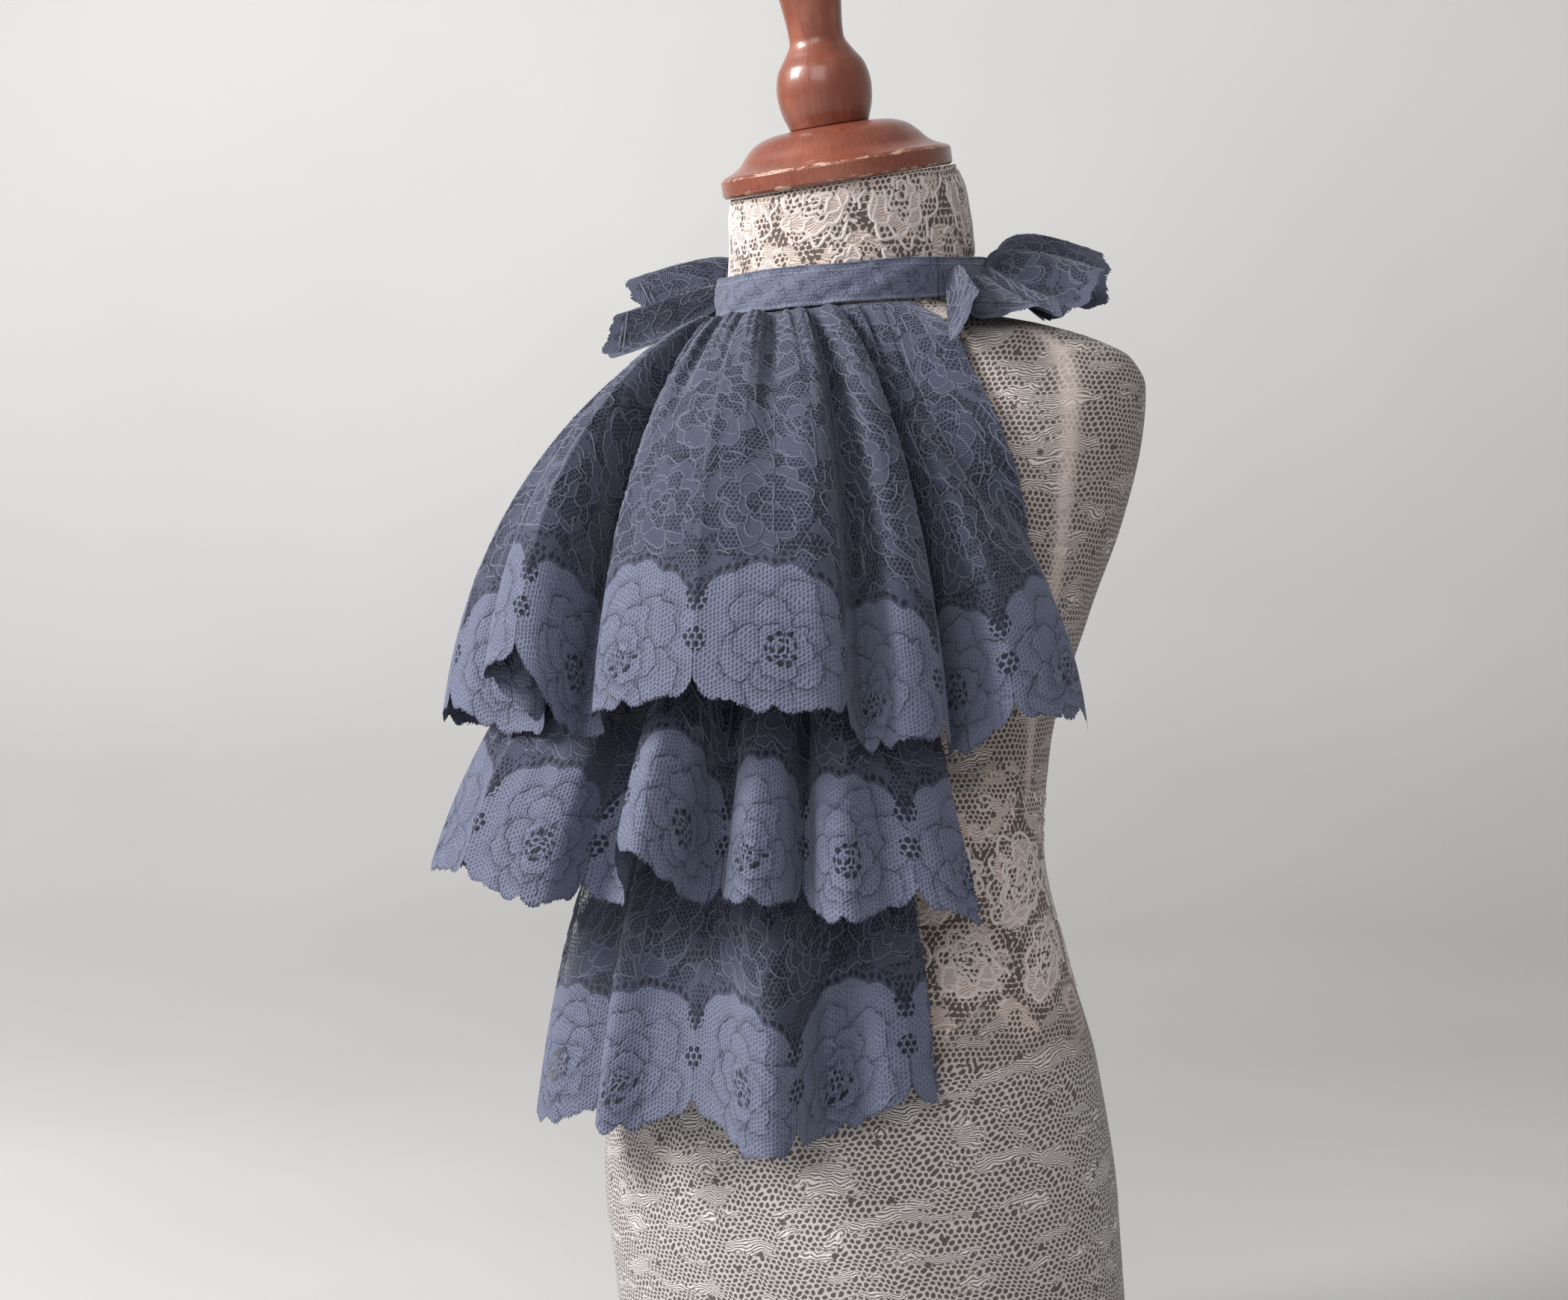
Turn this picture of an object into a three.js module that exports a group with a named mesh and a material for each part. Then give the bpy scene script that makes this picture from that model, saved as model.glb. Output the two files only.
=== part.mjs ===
// A jabot of corded lace on a small limbless dress form.
// Millimetres, +Z up. The form's front faces -Y and its flat base lies on z = 0.
// Round the neck a place is polar: an angle in degrees from the front, positive towards +X,
// a reach out from the neck axis, and a height above the base.
import * as THREE from "three";

const neckAxisY = -10;
const seamGap = 0.3;

const laceThickness = 1.2;
const bandThickness = 1.6;
const bandRadius = 59.4;
const bandHeight = 17.5;
const bandFrontTilt = 7.1;
const bandMiddleHeight = 518.2;
const frontBandHalfAngle = 75;
const scallopWidth = 64.5;
const scallopDepth = 9;
const lobesPerScallop = 4;
const lobeDepth = 2.2;

const laceBlue = { color: 0x676d84, roughness: 0.85, metalness: 0 };
const bandBlue = { color: 0x7a8098, roughness: 0.85, metalness: 0 };
const creamLace = { color: 0xb0a59f, roughness: 0.9, metalness: 0 };
const redWood = { color: 0x945a4c, roughness: 0.35, metalness: 0 };

const jabot = new THREE.Group();

// ---------------------------------------------------------------- helpers

function lerp(from, to, share) {
  return from + (to - from) * share;
}

function radians(angle) {
  return THREE.MathUtils.degToRad(angle);
}

function polar(angle, reach, height) {
  const turn = radians(angle);
  return new THREE.Vector3(reach * Math.sin(turn), neckAxisY - reach * Math.cos(turn), height);
}

function addMesh(name, geometry, finish, parent = jabot) {
  const mesh = new THREE.Mesh(geometry, new THREE.MeshStandardMaterial(finish));
  mesh.name = name;
  parent.add(mesh);
  return mesh;
}

function geometryFrom(points, triangles) {
  const geometry = new THREE.BufferGeometry();
  const positions = points.flatMap((point) => [point.x, point.y, point.z]);
  geometry.setAttribute("position", new THREE.Float32BufferAttribute(positions, 3));
  geometry.setIndex(triangles);
  geometry.computeVertexNormals();
  return geometry;
}

// Smooth value of a named column between the rows of a table, with no overshoot.
function columnAt(rows, key, column, place) {
  const last = rows.length - 1;
  const inside = Math.min(Math.max(place, rows[0][key]), rows[last][key]);
  let low = 0;
  while (low < last - 1 && rows[low + 1][key] < inside) low += 1;
  const rise = (row) => (rows[row + 1][column] - rows[row][column]) / (rows[row + 1][key] - rows[row][key]);
  const slope = (row) => {
    if (row === 0 || row === last) return 0;
    const before = rise(row - 1);
    const after = rise(row);
    return before * after <= 0 ? 0 : (2 * before * after) / (before + after);
  };
  const span = rows[low + 1][key] - rows[low][key];
  const t = (inside - rows[low][key]) / span;
  const t2 = t * t;
  const t3 = t2 * t;
  return (
    (2 * t3 - 3 * t2 + 1) * rows[low][column] +
    (t3 - 2 * t2 + t) * span * slope(low) +
    (3 * t2 - 2 * t3) * rows[low + 1][column] +
    (t3 - t2) * span * slope(low + 1)
  );
}

// A closed wall round a grid of middle points. Seen from outside, rows run down or outwards
// and columns run to the right.
function wallGeometry(grid, thickness) {
  const rows = grid.length;
  const columns = grid[0].length;
  const half = thickness / 2;
  const outer = [];
  const inner = [];
  for (let row = 0; row < rows; row += 1) {
    for (let column = 0; column < columns; column += 1) {
      const above = grid[Math.max(row - 1, 0)][column];
      const below = grid[Math.min(row + 1, rows - 1)][column];
      const left = grid[row][Math.max(column - 1, 0)];
      const right = grid[row][Math.min(column + 1, columns - 1)];
      const down = below.clone().sub(above);
      const across = right.clone().sub(left);
      const normal = down.cross(across).normalize();
      outer.push(grid[row][column].clone().addScaledVector(normal, half));
      inner.push(grid[row][column].clone().addScaledVector(normal, -half));
    }
  }
  const count = rows * columns;
  const at = (row, column) => row * columns + column;
  const triangles = [];
  const rim = [];
  for (let row = 0; row < rows - 1; row += 1) {
    for (let column = 0; column < columns - 1; column += 1) {
      const a = at(row, column);
      const b = at(row + 1, column);
      const c = at(row + 1, column + 1);
      const d = at(row, column + 1);
      triangles.push(a, b, c, a, c, d);
      triangles.push(a + count, c + count, b + count, a + count, d + count, c + count);
    }
    rim.push([at(row, 0), at(row + 1, 0)]);
    rim.push([at(row + 1, columns - 1), at(row, columns - 1)]);
  }
  for (let column = 0; column < columns - 1; column += 1) {
    rim.push([at(0, column + 1), at(0, column)]);
    rim.push([at(rows - 1, column), at(rows - 1, column + 1)]);
  }
  for (const [from, to] of rim) {
    triangles.push(to, from, from + count, to, from + count, to + count);
  }
  return geometryFrom([...outer, ...inner], triangles);
}

// ---------------------------------------------------------------- dress form

// Each section is an ellipse. Tilt lowers its front, as on the leaning neck.
const formSections = [
  { height: 0, halfWidth: 121, halfDepth: 87, centreY: 0, tilt: 0 },
  { height: 57, halfWidth: 124.4, halfDepth: 90, centreY: -2, tilt: 0 },
  { height: 112, halfWidth: 123.7, halfDepth: 94, centreY: -8.7, tilt: 0 },
  { height: 172, halfWidth: 116.2, halfDepth: 87, centreY: -11, tilt: 0 },
  { height: 220, halfWidth: 101.5, halfDepth: 74, centreY: -10, tilt: 0 },
  { height: 268, halfWidth: 90, halfDepth: 64, centreY: -8, tilt: 0 },
  { height: 308, halfWidth: 92.3, halfDepth: 68, centreY: -7, tilt: 0 },
  { height: 366, halfWidth: 110.9, halfDepth: 77, centreY: -6, tilt: 0 },
  { height: 403, halfWidth: 126.8, halfDepth: 79, centreY: -5, tilt: 0 },
  { height: 440, halfWidth: 139.5, halfDepth: 71, centreY: -5, tilt: 0 },
  { height: 459, halfWidth: 142.4, halfDepth: 62, centreY: -5, tilt: 0 },
  { height: 470, halfWidth: 137, halfDepth: 57.5, centreY: -6, tilt: 0 },
  { height: 479, halfWidth: 120, halfDepth: 56, centreY: -7, tilt: 0 },
  { height: 487, halfWidth: 95, halfDepth: 55.5, centreY: -8, tilt: 0 },
  { height: 493, halfWidth: 70, halfDepth: 55.2, centreY: -9, tilt: 0 },
  { height: 498, halfWidth: 56.8, halfDepth: 55, centreY: -9.8, tilt: 0 },
  { height: 528, halfWidth: 53.7, halfDepth: 53.7, centreY: -10.6, tilt: 0.12 },
  { height: 548, halfWidth: 51.8, halfDepth: 51.8, centreY: -14, tilt: 0.22 },
  { height: 556.4, halfWidth: 49.5, halfDepth: 49.5, centreY: -16.5, tilt: 0.25 },
];
const formSides = 28;
const formRingsPerSection = [2, 2, 2, 2, 2, 1, 2, 1, 1, 1, 1, 1, 1, 1, 1, 1, 1, 1];
const capLean = Math.atan(0.25);

function formSection(height) {
  const section = {};
  for (const column of ["halfWidth", "halfDepth", "centreY", "tilt"]) {
    section[column] = columnAt(formSections, "height", column, height);
  }
  return section;
}

// Reach from the neck axis to the form's surface.
function formReach(angle, height) {
  const { halfWidth, halfDepth, centreY } = formSection(height);
  const across = Math.sin(radians(angle));
  const forward = Math.cos(radians(angle));
  const offset = neckAxisY - centreY;
  const square = (across / halfWidth) ** 2 + (forward / halfDepth) ** 2;
  const linear = (-2 * offset * forward) / halfDepth ** 2;
  const constant = (offset / halfDepth) ** 2 - 1;
  return (-linear + Math.sqrt(linear ** 2 - 4 * square * constant)) / (2 * square);
}

function buildForm() {
  const heights = [];
  formRingsPerSection.forEach((rings, row) => {
    for (let ring = 0; ring < rings; ring += 1) {
      heights.push(lerp(formSections[row].height, formSections[row + 1].height, ring / rings));
    }
  });
  heights.push(formSections.at(-1).height);
  const points = [];
  for (const height of heights) {
    const { halfWidth, halfDepth, centreY, tilt } = formSection(height);
    for (let side = 0; side < formSides; side += 1) {
      const turn = (side / formSides) * 2 * Math.PI;
      const depth = -halfDepth * Math.cos(turn);
      points.push(new THREE.Vector3(halfWidth * Math.sin(turn), centreY + depth, height + tilt * depth));
    }
  }
  const triangles = [];
  for (let ring = 0; ring < heights.length - 1; ring += 1) {
    for (let side = 0; side < formSides; side += 1) {
      const next = (side + 1) % formSides;
      const a = ring * formSides + side;
      const b = ring * formSides + next;
      const c = a + formSides;
      const d = b + formSides;
      triangles.push(a, b, d, a, d, c);
    }
  }
  const base = points.push(new THREE.Vector3(0, 0, 0)) - 1;
  const topSection = formSections.at(-1);
  const top = points.push(new THREE.Vector3(0, topSection.centreY, topSection.height)) - 1;
  const topRing = (heights.length - 1) * formSides;
  for (let side = 0; side < formSides; side += 1) {
    const next = (side + 1) % formSides;
    triangles.push(base, next, side);
    triangles.push(top, topRing + side, topRing + next);
  }
  addMesh("form_torso", geometryFrom(points, triangles), creamLace);
}

// ---------------------------------------------------------------- turned wooden cap and finial

const turningSides = 22;
const capProfile = [
  { radius: 49.8, height: 0 },
  { radius: 51, height: 1.2 },
  { radius: 51, height: 7.6 },
  { radius: 49.6, height: 8.8 },
  { radius: 45.5, height: 10.4 },
  { radius: 42, height: 12.6 },
  { radius: 38, height: 17 },
  { radius: 34, height: 20.5 },
  { radius: 28, height: 23 },
  { radius: 18, height: 24.2 },
];
const finialProfile = [
  { radius: 17.4, height: 0 },
  { radius: 20, height: 8 },
  { radius: 20.8, height: 17 },
  { radius: 19, height: 25 },
  { radius: 15, height: 31 },
  { radius: 12.2, height: 36 },
  { radius: 12, height: 41 },
  { radius: 13.8, height: 57 },
  { radius: 16.6, height: 76 },
  { radius: 17.4, height: 87 },
  { radius: 15.4, height: 96 },
  { radius: 9.5, height: 102.5 },
];
const finialLength = 105;

function turnedPiece(name, profile, length, place, parent) {
  const outline = [new THREE.Vector2(0, 0)];
  for (const { radius, height } of profile) outline.push(new THREE.Vector2(radius, height));
  outline.push(new THREE.Vector2(0, length));
  const geometry = new THREE.LatheGeometry(outline, turningSides);
  geometry.rotateX(Math.PI / 2);
  geometry.deleteAttribute("uv");
  addMesh(name, geometry, redWood, parent).position.set(0, 0, place);
}

function buildTurnedTop() {
  const leaning = new THREE.Group();
  leaning.position.set(0, -20, 555.6);
  leaning.rotation.x = capLean;
  jabot.add(leaning);
  const capHeight = capProfile.at(-1).height;
  turnedPiece("neck_cap", capProfile, capHeight, seamGap, leaning);
  turnedPiece("finial", finialProfile, finialLength, capHeight + 2 * seamGap, leaning);
}

// ---------------------------------------------------------------- neckband

const bandLapAngle = 6;
const bandLapStep = 2.1;

function bandTop(angle) {
  return bandMiddleHeight - bandFrontTilt * Math.cos(radians(angle));
}

function bandBottom(angle) {
  return bandTop(angle) - bandHeight;
}

function bandGrid(fromAngle, toAngle, columns, reachAt) {
  const grid = [];
  for (const share of [0, 0.5, 1]) {
    const line = [];
    for (let column = 0; column <= columns; column += 1) {
      const angle = lerp(fromAngle, toAngle, column / columns);
      line.push(polar(angle, reachAt(angle) + 0.6 * share, bandTop(angle) - bandHeight * share));
    }
    grid.push(line);
  }
  return grid;
}

function buildNeckband() {
  const gapAngle = THREE.MathUtils.radToDeg((1.4 * seamGap) / bandRadius);
  const back = frontBandHalfAngle + gapAngle;
  const underLap = 180 + bandLapAngle;
  const overLap = 180 - bandLapAngle;
  const plain = () => bandRadius;
  const lapped = (angle) => bandRadius + bandLapStep * THREE.MathUtils.smoothstep(angle, overLap - 12, overLap - 4);
  const front = bandGrid(-frontBandHalfAngle, frontBandHalfAngle, 20, plain);
  addMesh("neckband_front", wallGeometry(front, bandThickness), bandBlue);
  const right = bandGrid(-underLap, -back, 15, plain);
  addMesh("neckband_back_right", wallGeometry(right, bandThickness), bandBlue);
  const left = bandGrid(back, underLap - 2 * seamGap, 15, lapped);
  addMesh("neckband_back_left", wallGeometry(left, bandThickness), bandBlue);
}

// ---------------------------------------------------------------- backing panel

const panelGap = 1.05;
const panelColumns = 12;
const panelTopHalfAngle = 22;
const panelLines = [
  { height: 487, halfAngle: 30 },
  { height: 479, halfAngle: 37 },
  { height: 470, halfAngle: 43 },
  { height: 459, halfAngle: 46 },
  { height: 442, halfAngle: 46 },
  { height: 424, halfAngle: 46 },
  { height: 403, halfAngle: 46 },
  { height: 366, halfAngle: 45 },
  { height: 340, halfAngle: 43 },
  { height: 331, halfAngle: 43 },
];

function panelReach(angle, height) {
  return formReach(angle, height) + panelGap + laceThickness / 2;
}

function buildPanel() {
  const grid = [];
  const addLine = (halfAngle, place) => {
    const line = [];
    for (let column = 0; column <= panelColumns; column += 1) {
      line.push(place(lerp(-halfAngle, halfAngle, column / panelColumns)));
    }
    grid.push(line);
  };
  addLine(panelTopHalfAngle, (angle) => polar(angle, bandRadius - 1.2, bandBottom(angle) - 2 * seamGap));
  for (const { height, halfAngle } of panelLines) {
    addLine(halfAngle, (angle) => polar(angle, panelReach(angle, height), height));
  }
  addMesh("backing_panel", wallGeometry(grid, laceThickness), laceBlue);
}

// ---------------------------------------------------------------- lace tiers

// The hem of each tier from its right end round to its left end, a row for each crest,
// valley or shoulder of a fold.
const tierOneHem = [
  { angle: -74, reach: 150, height: 308 },
  { angle: -66, reach: 160, height: 308 },
  { angle: -57, reach: 147, height: 309 },
  { angle: -51, reach: 167, height: 313 },
  { angle: -45, reach: 179, height: 318 },
  { angle: -37, reach: 178, height: 320 },
  { angle: -31, reach: 173, height: 320 },
  { angle: -26.5, reach: 163, height: 315 },
  { angle: -22, reach: 156, height: 312 },
  { angle: -17, reach: 153, height: 311 },
  { angle: -16.5, reach: 160, height: 318 },
  { angle: -19.5, reach: 170, height: 333 },
  { angle: -19, reach: 177, height: 338 },
  { angle: -14, reach: 179, height: 341 },
  { angle: -9.5, reach: 175, height: 338 },
  { angle: -7.5, reach: 168, height: 325 },
  { angle: -7.5, reach: 158, height: 315 },
  { angle: -8.5, reach: 147, height: 311 },
  { angle: -5, reach: 145, height: 312 },
  { angle: -2.5, reach: 157, height: 320 },
  { angle: 4, reach: 162, height: 326 },
  { angle: 15, reach: 163, height: 327 },
  { angle: 27, reach: 161, height: 325 },
  { angle: 36, reach: 156, height: 322 },
  { angle: 38.5, reach: 143, height: 315 },
  { angle: 41, reach: 131, height: 309 },
  { angle: 43.5, reach: 140, height: 311 },
  { angle: 46, reach: 150, height: 312 },
  { angle: 51, reach: 149, height: 311 },
  { angle: 55, reach: 136, height: 309 },
  { angle: 58, reach: 120, height: 306 },
  { angle: 60.5, reach: 136, height: 311 },
  { angle: 63, reach: 150, height: 317 },
  { angle: 70, reach: 153, height: 321 },
  { angle: 76, reach: 149, height: 322 },
  { angle: 80, reach: 141, height: 313 },
];
const tierTwoHem = [
  { angle: -58, reach: 150, height: 250 },
  { angle: -50, reach: 160, height: 246 },
  { angle: -44, reach: 146, height: 246 },
  { angle: -40, reach: 170, height: 252 },
  { angle: -35, reach: 186, height: 257 },
  { angle: -28, reach: 181, height: 253 },
  { angle: -20, reach: 172, height: 249 },
  { angle: -13, reach: 160, height: 245 },
  { angle: -14, reach: 139, height: 243 },
  { angle: -7, reach: 134, height: 244 },
  { angle: -1, reach: 143, height: 250 },
  { angle: 3, reach: 160, height: 264 },
  { angle: 8, reach: 167, height: 268 },
  { angle: 12, reach: 158, height: 258 },
  { angle: 12.5, reach: 141, height: 247 },
  { angle: 15, reach: 131, height: 245 },
  { angle: 18, reach: 143, height: 250 },
  { angle: 22, reach: 151, height: 252 },
  { angle: 27, reach: 146, height: 250 },
  { angle: 30, reach: 124, height: 245 },
  { angle: 33, reach: 139, height: 245 },
  { angle: 38, reach: 147, height: 244 },
  { angle: 45, reach: 138, height: 246 },
  { angle: 53, reach: 142, height: 245 },
  { angle: 60, reach: 139, height: 242 },
];
const tierThreeHem = [
  { angle: -42, reach: 134, height: 152 },
  { angle: -35, reach: 141, height: 149 },
  { angle: -29, reach: 139, height: 149 },
  { angle: -23, reach: 131, height: 152 },
  { angle: -18, reach: 123, height: 154 },
  { angle: -14, reach: 133, height: 153 },
  { angle: -10, reach: 137, height: 152 },
  { angle: -4, reach: 124, height: 155 },
  { angle: 5, reach: 119, height: 158 },
  { angle: 14, reach: 124, height: 157 },
  { angle: 21, reach: 137, height: 151 },
  { angle: 26, reach: 140, height: 149 },
  { angle: 30, reach: 127, height: 151 },
  { angle: 34, reach: 109, height: 156 },
  { angle: 39, reach: 113, height: 160 },
  { angle: 45, reach: 123, height: 166 },
  { angle: 51, reach: 121, height: 167 },
  { angle: 56, reach: 117, height: 166 },
];

// Where a share of the first hem is gathered to on its seam. The rows past 0 and 1 only
// set how close the first and last columns lie.
const tierOneSeam = [
  { share: -0.1, angle: -65.5 },
  { share: 0, angle: -62 },
  { share: 0.29, angle: -53 },
  { share: 0.385, angle: -49 },
  { share: 0.485, angle: -44 },
  { share: 0.58, angle: -18 },
  { share: 0.7, angle: 14 },
  { share: 0.745, angle: 22 },
  { share: 0.79, angle: 27 },
  { share: 0.863, angle: 34 },
  { share: 0.93, angle: 47 },
  { share: 1, angle: 62 },
  { share: 1.1, angle: 84 },
];

// Gathers at a seam: troughs that start at the seam and run out down the cloth.
const tierOneGathers = [
  { angle: -58, depth: 3, width: 2.6, length: 70 },
  { angle: -53, depth: 4.5, width: 2.2, length: 120 },
  { angle: -44.5, depth: 8, width: 2.8, length: 170 },
  { angle: -34, depth: 3.5, width: 3, length: 60 },
  { angle: -24, depth: 8, width: 3.4, length: 80 },
  { angle: -10, depth: 4, width: 3, length: 45 },
  { angle: 5, depth: 10, width: 4.2, length: 85 },
  { angle: 13, depth: 4.5, width: 2.6, length: 45 },
  { angle: 21.5, depth: 9.5, width: 3.4, length: 160 },
  { angle: 33.5, depth: 9.5, width: 3.2, length: 160 },
  { angle: 42, depth: 7.5, width: 3, length: 90 },
  { angle: 50, depth: 3.5, width: 3, length: 60 },
  { angle: 57, depth: 3, width: 2.6, length: 60 },
];
const tierTwoGathers = [
  { angle: -36, depth: 3, width: 3, length: 60 },
  { angle: -27, depth: 4, width: 3, length: 70 },
  { angle: -17, depth: 4, width: 3, length: 80 },
  { angle: -8, depth: 4, width: 3, length: 60 },
  { angle: 3, depth: 4, width: 3, length: 70 },
  { angle: 13, depth: 4, width: 3, length: 80 },
  { angle: 23, depth: 4, width: 3, length: 60 },
  { angle: 33, depth: 3, width: 3, length: 60 },
];
const tierThreeGathers = [
  { angle: -32, depth: 2.5, width: 3, length: 60 },
  { angle: -22, depth: 3, width: 3, length: 70 },
  { angle: -11, depth: 3, width: 3, length: 60 },
  { angle: 0, depth: 3, width: 3, length: 60 },
  { angle: 12, depth: 3, width: 3, length: 70 },
  { angle: 24, depth: 3, width: 3, length: 60 },
  { angle: 34, depth: 2.5, width: 3, length: 60 },
];

const tiers = [
  {
    name: "tier_1",
    hem: tierOneHem,
    gathers: tierOneGathers,
    puff: 7,
    seamPlaces: tierOneSeam,
    seamAt: (angle) => polar(angle, bandRadius + 1, bandBottom(angle) - seamGap - laceThickness / 2),
    restsOnForm: true,
    lift: 27,
    calmEnd: { from: 26, to: 56, lift: 0 },
    flare: 0.12,
    columns: 124,
    rowShares: [0, 0.045, 0.11, 0.2, 0.33, 0.5, 0.68, 0.85, 1],
  },
  {
    name: "tier_2",
    hem: tierTwoHem,
    gathers: tierTwoGathers,
    puff: 3,
    seamHalfAngle: 41,
    seamAt: (angle) => polar(angle, panelReach(angle, 424) + laceThickness + seamGap, 424),
    lift: 6,
    flare: 0.3,
    columns: 96,
    rowShares: [0, 0.08, 0.2, 0.36, 0.54, 0.72, 0.87, 1],
  },
  {
    name: "tier_3",
    hem: tierThreeHem,
    gathers: tierThreeGathers,
    puff: 2.5,
    seamHalfAngle: 39,
    seamAt: (angle) => polar(angle, panelReach(angle, 340) + laceThickness + seamGap, 340),
    lift: 12,
    flare: 0.12,
    columns: 76,
    rowShares: [0, 0.1, 0.25, 0.44, 0.64, 0.83, 1],
  },
];

const formClearance = { atSeam: 2, below: 5, belowDistance: 22 };
const restingSoftness = 1.5;

// How far the scalloped edge stands up from its lowest line, at a length along the cloth.
function scallopRise(length) {
  const inScallop = length / scallopWidth - Math.floor(length / scallopWidth);
  const arch = 1 - Math.sqrt(Math.sin(Math.PI * inScallop));
  const lobe = 1 - Math.abs(Math.sin(Math.PI * lobesPerScallop * inScallop));
  return scallopDepth * arch + lobeDepth * lobe;
}

// How far a column lies in the tier's calm end, where the cloth falls flat over the form.
function calmShare(tier, angle) {
  return tier.calmEnd ? THREE.MathUtils.smoothstep(angle, tier.calmEnd.from, tier.calmEnd.to) : 0;
}

// One line of cloth from the seam to the hem: it leaves the seam outwards and falls to
// hang almost plumb at the hem. In the calm end it leaves straight away from the neck.
function drapeLine(tier, seam, hem, calm) {
  const lift = calm > 0 ? lerp(tier.lift, tier.calmEnd.lift, calm) : tier.lift;
  const away = new THREE.Vector3(seam.x, seam.y - neckAxisY, 0).normalize();
  const across = new THREE.Vector3(hem.x - seam.x, hem.y - seam.y, 0);
  const drop = seam.z - hem.z;
  const run = across.length();
  const chord = Math.hypot(run, drop);
  const slope = Math.atan2(drop, run) - radians(lift);
  const reachAlong = chord * 0.38;
  across.normalize();
  const leaveWay = across.clone().lerp(away, calm).normalize();
  const leave = seam.clone().addScaledVector(leaveWay, reachAlong * Math.cos(slope));
  leave.z -= reachAlong * Math.sin(slope);
  const arrive = hem.clone().addScaledVector(across, -tier.flare * reachAlong);
  arrive.z += reachAlong;
  return new THREE.CubicBezierCurve3(seam, leave, arrive, hem);
}

// Moves a point of cloth out to lie just clear of the form where it would sink into it.
function clearOfForm(point, distance) {
  const below = Math.min(distance / formClearance.belowDistance, 1);
  const clearance = lerp(formClearance.atSeam, formClearance.below, below);
  const forward = neckAxisY - point.y;
  const angle = THREE.MathUtils.radToDeg(Math.atan2(point.x, forward));
  const reach = Math.hypot(point.x, forward);
  const least = formReach(angle, point.z) + clearance;
  const clear = least + restingSoftness * Math.log(1 + Math.exp((reach - least) / restingSoftness));
  return polar(angle, clear, point.z);
}

function gatherDepth(tier, angle, distance) {
  const start = distance / (distance + 3);
  let depth = tier.puff * Math.exp(-((distance / 75) ** 2));
  for (const gather of tier.gathers) {
    const across = (angle - gather.angle) / gather.width;
    depth -= gather.depth * Math.exp(-(across ** 2)) * Math.exp(-((distance / gather.length) ** 2));
  }
  return start * depth;
}

function seamAngle(tier, share) {
  if (tier.seamPlaces) return columnAt(tier.seamPlaces, "share", "angle", share);
  return lerp(-tier.seamHalfAngle, tier.seamHalfAngle, share);
}

function tierGrid(tier) {
  const hemPoints = tier.hem.map(({ angle, reach, height }) => polar(angle, reach, height));
  const hemCurve = new THREE.CatmullRomCurve3(hemPoints, false, "centripetal");
  hemCurve.arcLengthDivisions = 2000;
  const hemLength = hemCurve.getLength();
  const grid = tier.rowShares.map(() => []);
  for (let column = 0; column <= tier.columns; column += 1) {
    const share = column / tier.columns;
    const angle = seamAngle(tier, share);
    const seam = tier.seamAt(angle);
    const hem = hemCurve.getPointAt(share);
    hem.z += scallopRise(share * hemLength);
    const line = drapeLine(tier, seam, hem, calmShare(tier, angle));
    const length = seam.distanceTo(hem);
    tier.rowShares.forEach((rowShare, row) => {
      const point = line.getPoint(rowShare);
      const tangent = line.getTangent(rowShare);
      const outward = new THREE.Vector3(hem.x - seam.x, hem.y - seam.y, 0).normalize();
      outward.addScaledVector(tangent, -outward.dot(tangent)).normalize();
      const distance = rowShare * length;
      point.addScaledVector(outward, gatherDepth(tier, angle, distance));
      grid[row].push(tier.restsOnForm ? clearOfForm(point, distance) : point);
    });
  }
  return grid;
}

// ---------------------------------------------------------------- neck ruffles

// The outer edge of each ruffle from its front end to the centre back, a row for each
// crest, valley or shoulder of a pleat. Side is 1 towards +X and -1 towards -X.
const ruffleLeftEdge = [
  { angle: 57, reach: 121, height: 470 },
  { angle: 60, reach: 120, height: 477.9 },
  { angle: 65, reach: 113.9, height: 493.4 },
  { angle: 67, reach: 101.7, height: 484.9 },
  { angle: 72, reach: 111.4, height: 484 },
  { angle: 78, reach: 118, height: 488.5 },
  { angle: 84, reach: 119.5, height: 484.8 },
  { angle: 89, reach: 111.3, height: 493.2 },
  { angle: 92, reach: 103.2, height: 486.5 },
  { angle: 97, reach: 114.8, height: 493.6 },
  { angle: 101, reach: 120, height: 507.1 },
  { angle: 107, reach: 112.9, height: 510.4 },
  { angle: 108, reach: 106.6, height: 495.3 },
  { angle: 114, reach: 113.6, height: 498.2 },
  { angle: 122, reach: 114.2, height: 516.6 },
  { angle: 130, reach: 112.1, height: 525.2 },
  { angle: 137, reach: 106, height: 512 },
  { angle: 143, reach: 114.6, height: 504.3 },
  { angle: 151, reach: 111.4, height: 521.8 },
  { angle: 158, reach: 106.3, height: 511.9 },
  { angle: 164, reach: 113.3, height: 503.4 },
  { angle: 172, reach: 110.3, height: 518.5 },
  { angle: 178, reach: 108, height: 512 },
];
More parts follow.
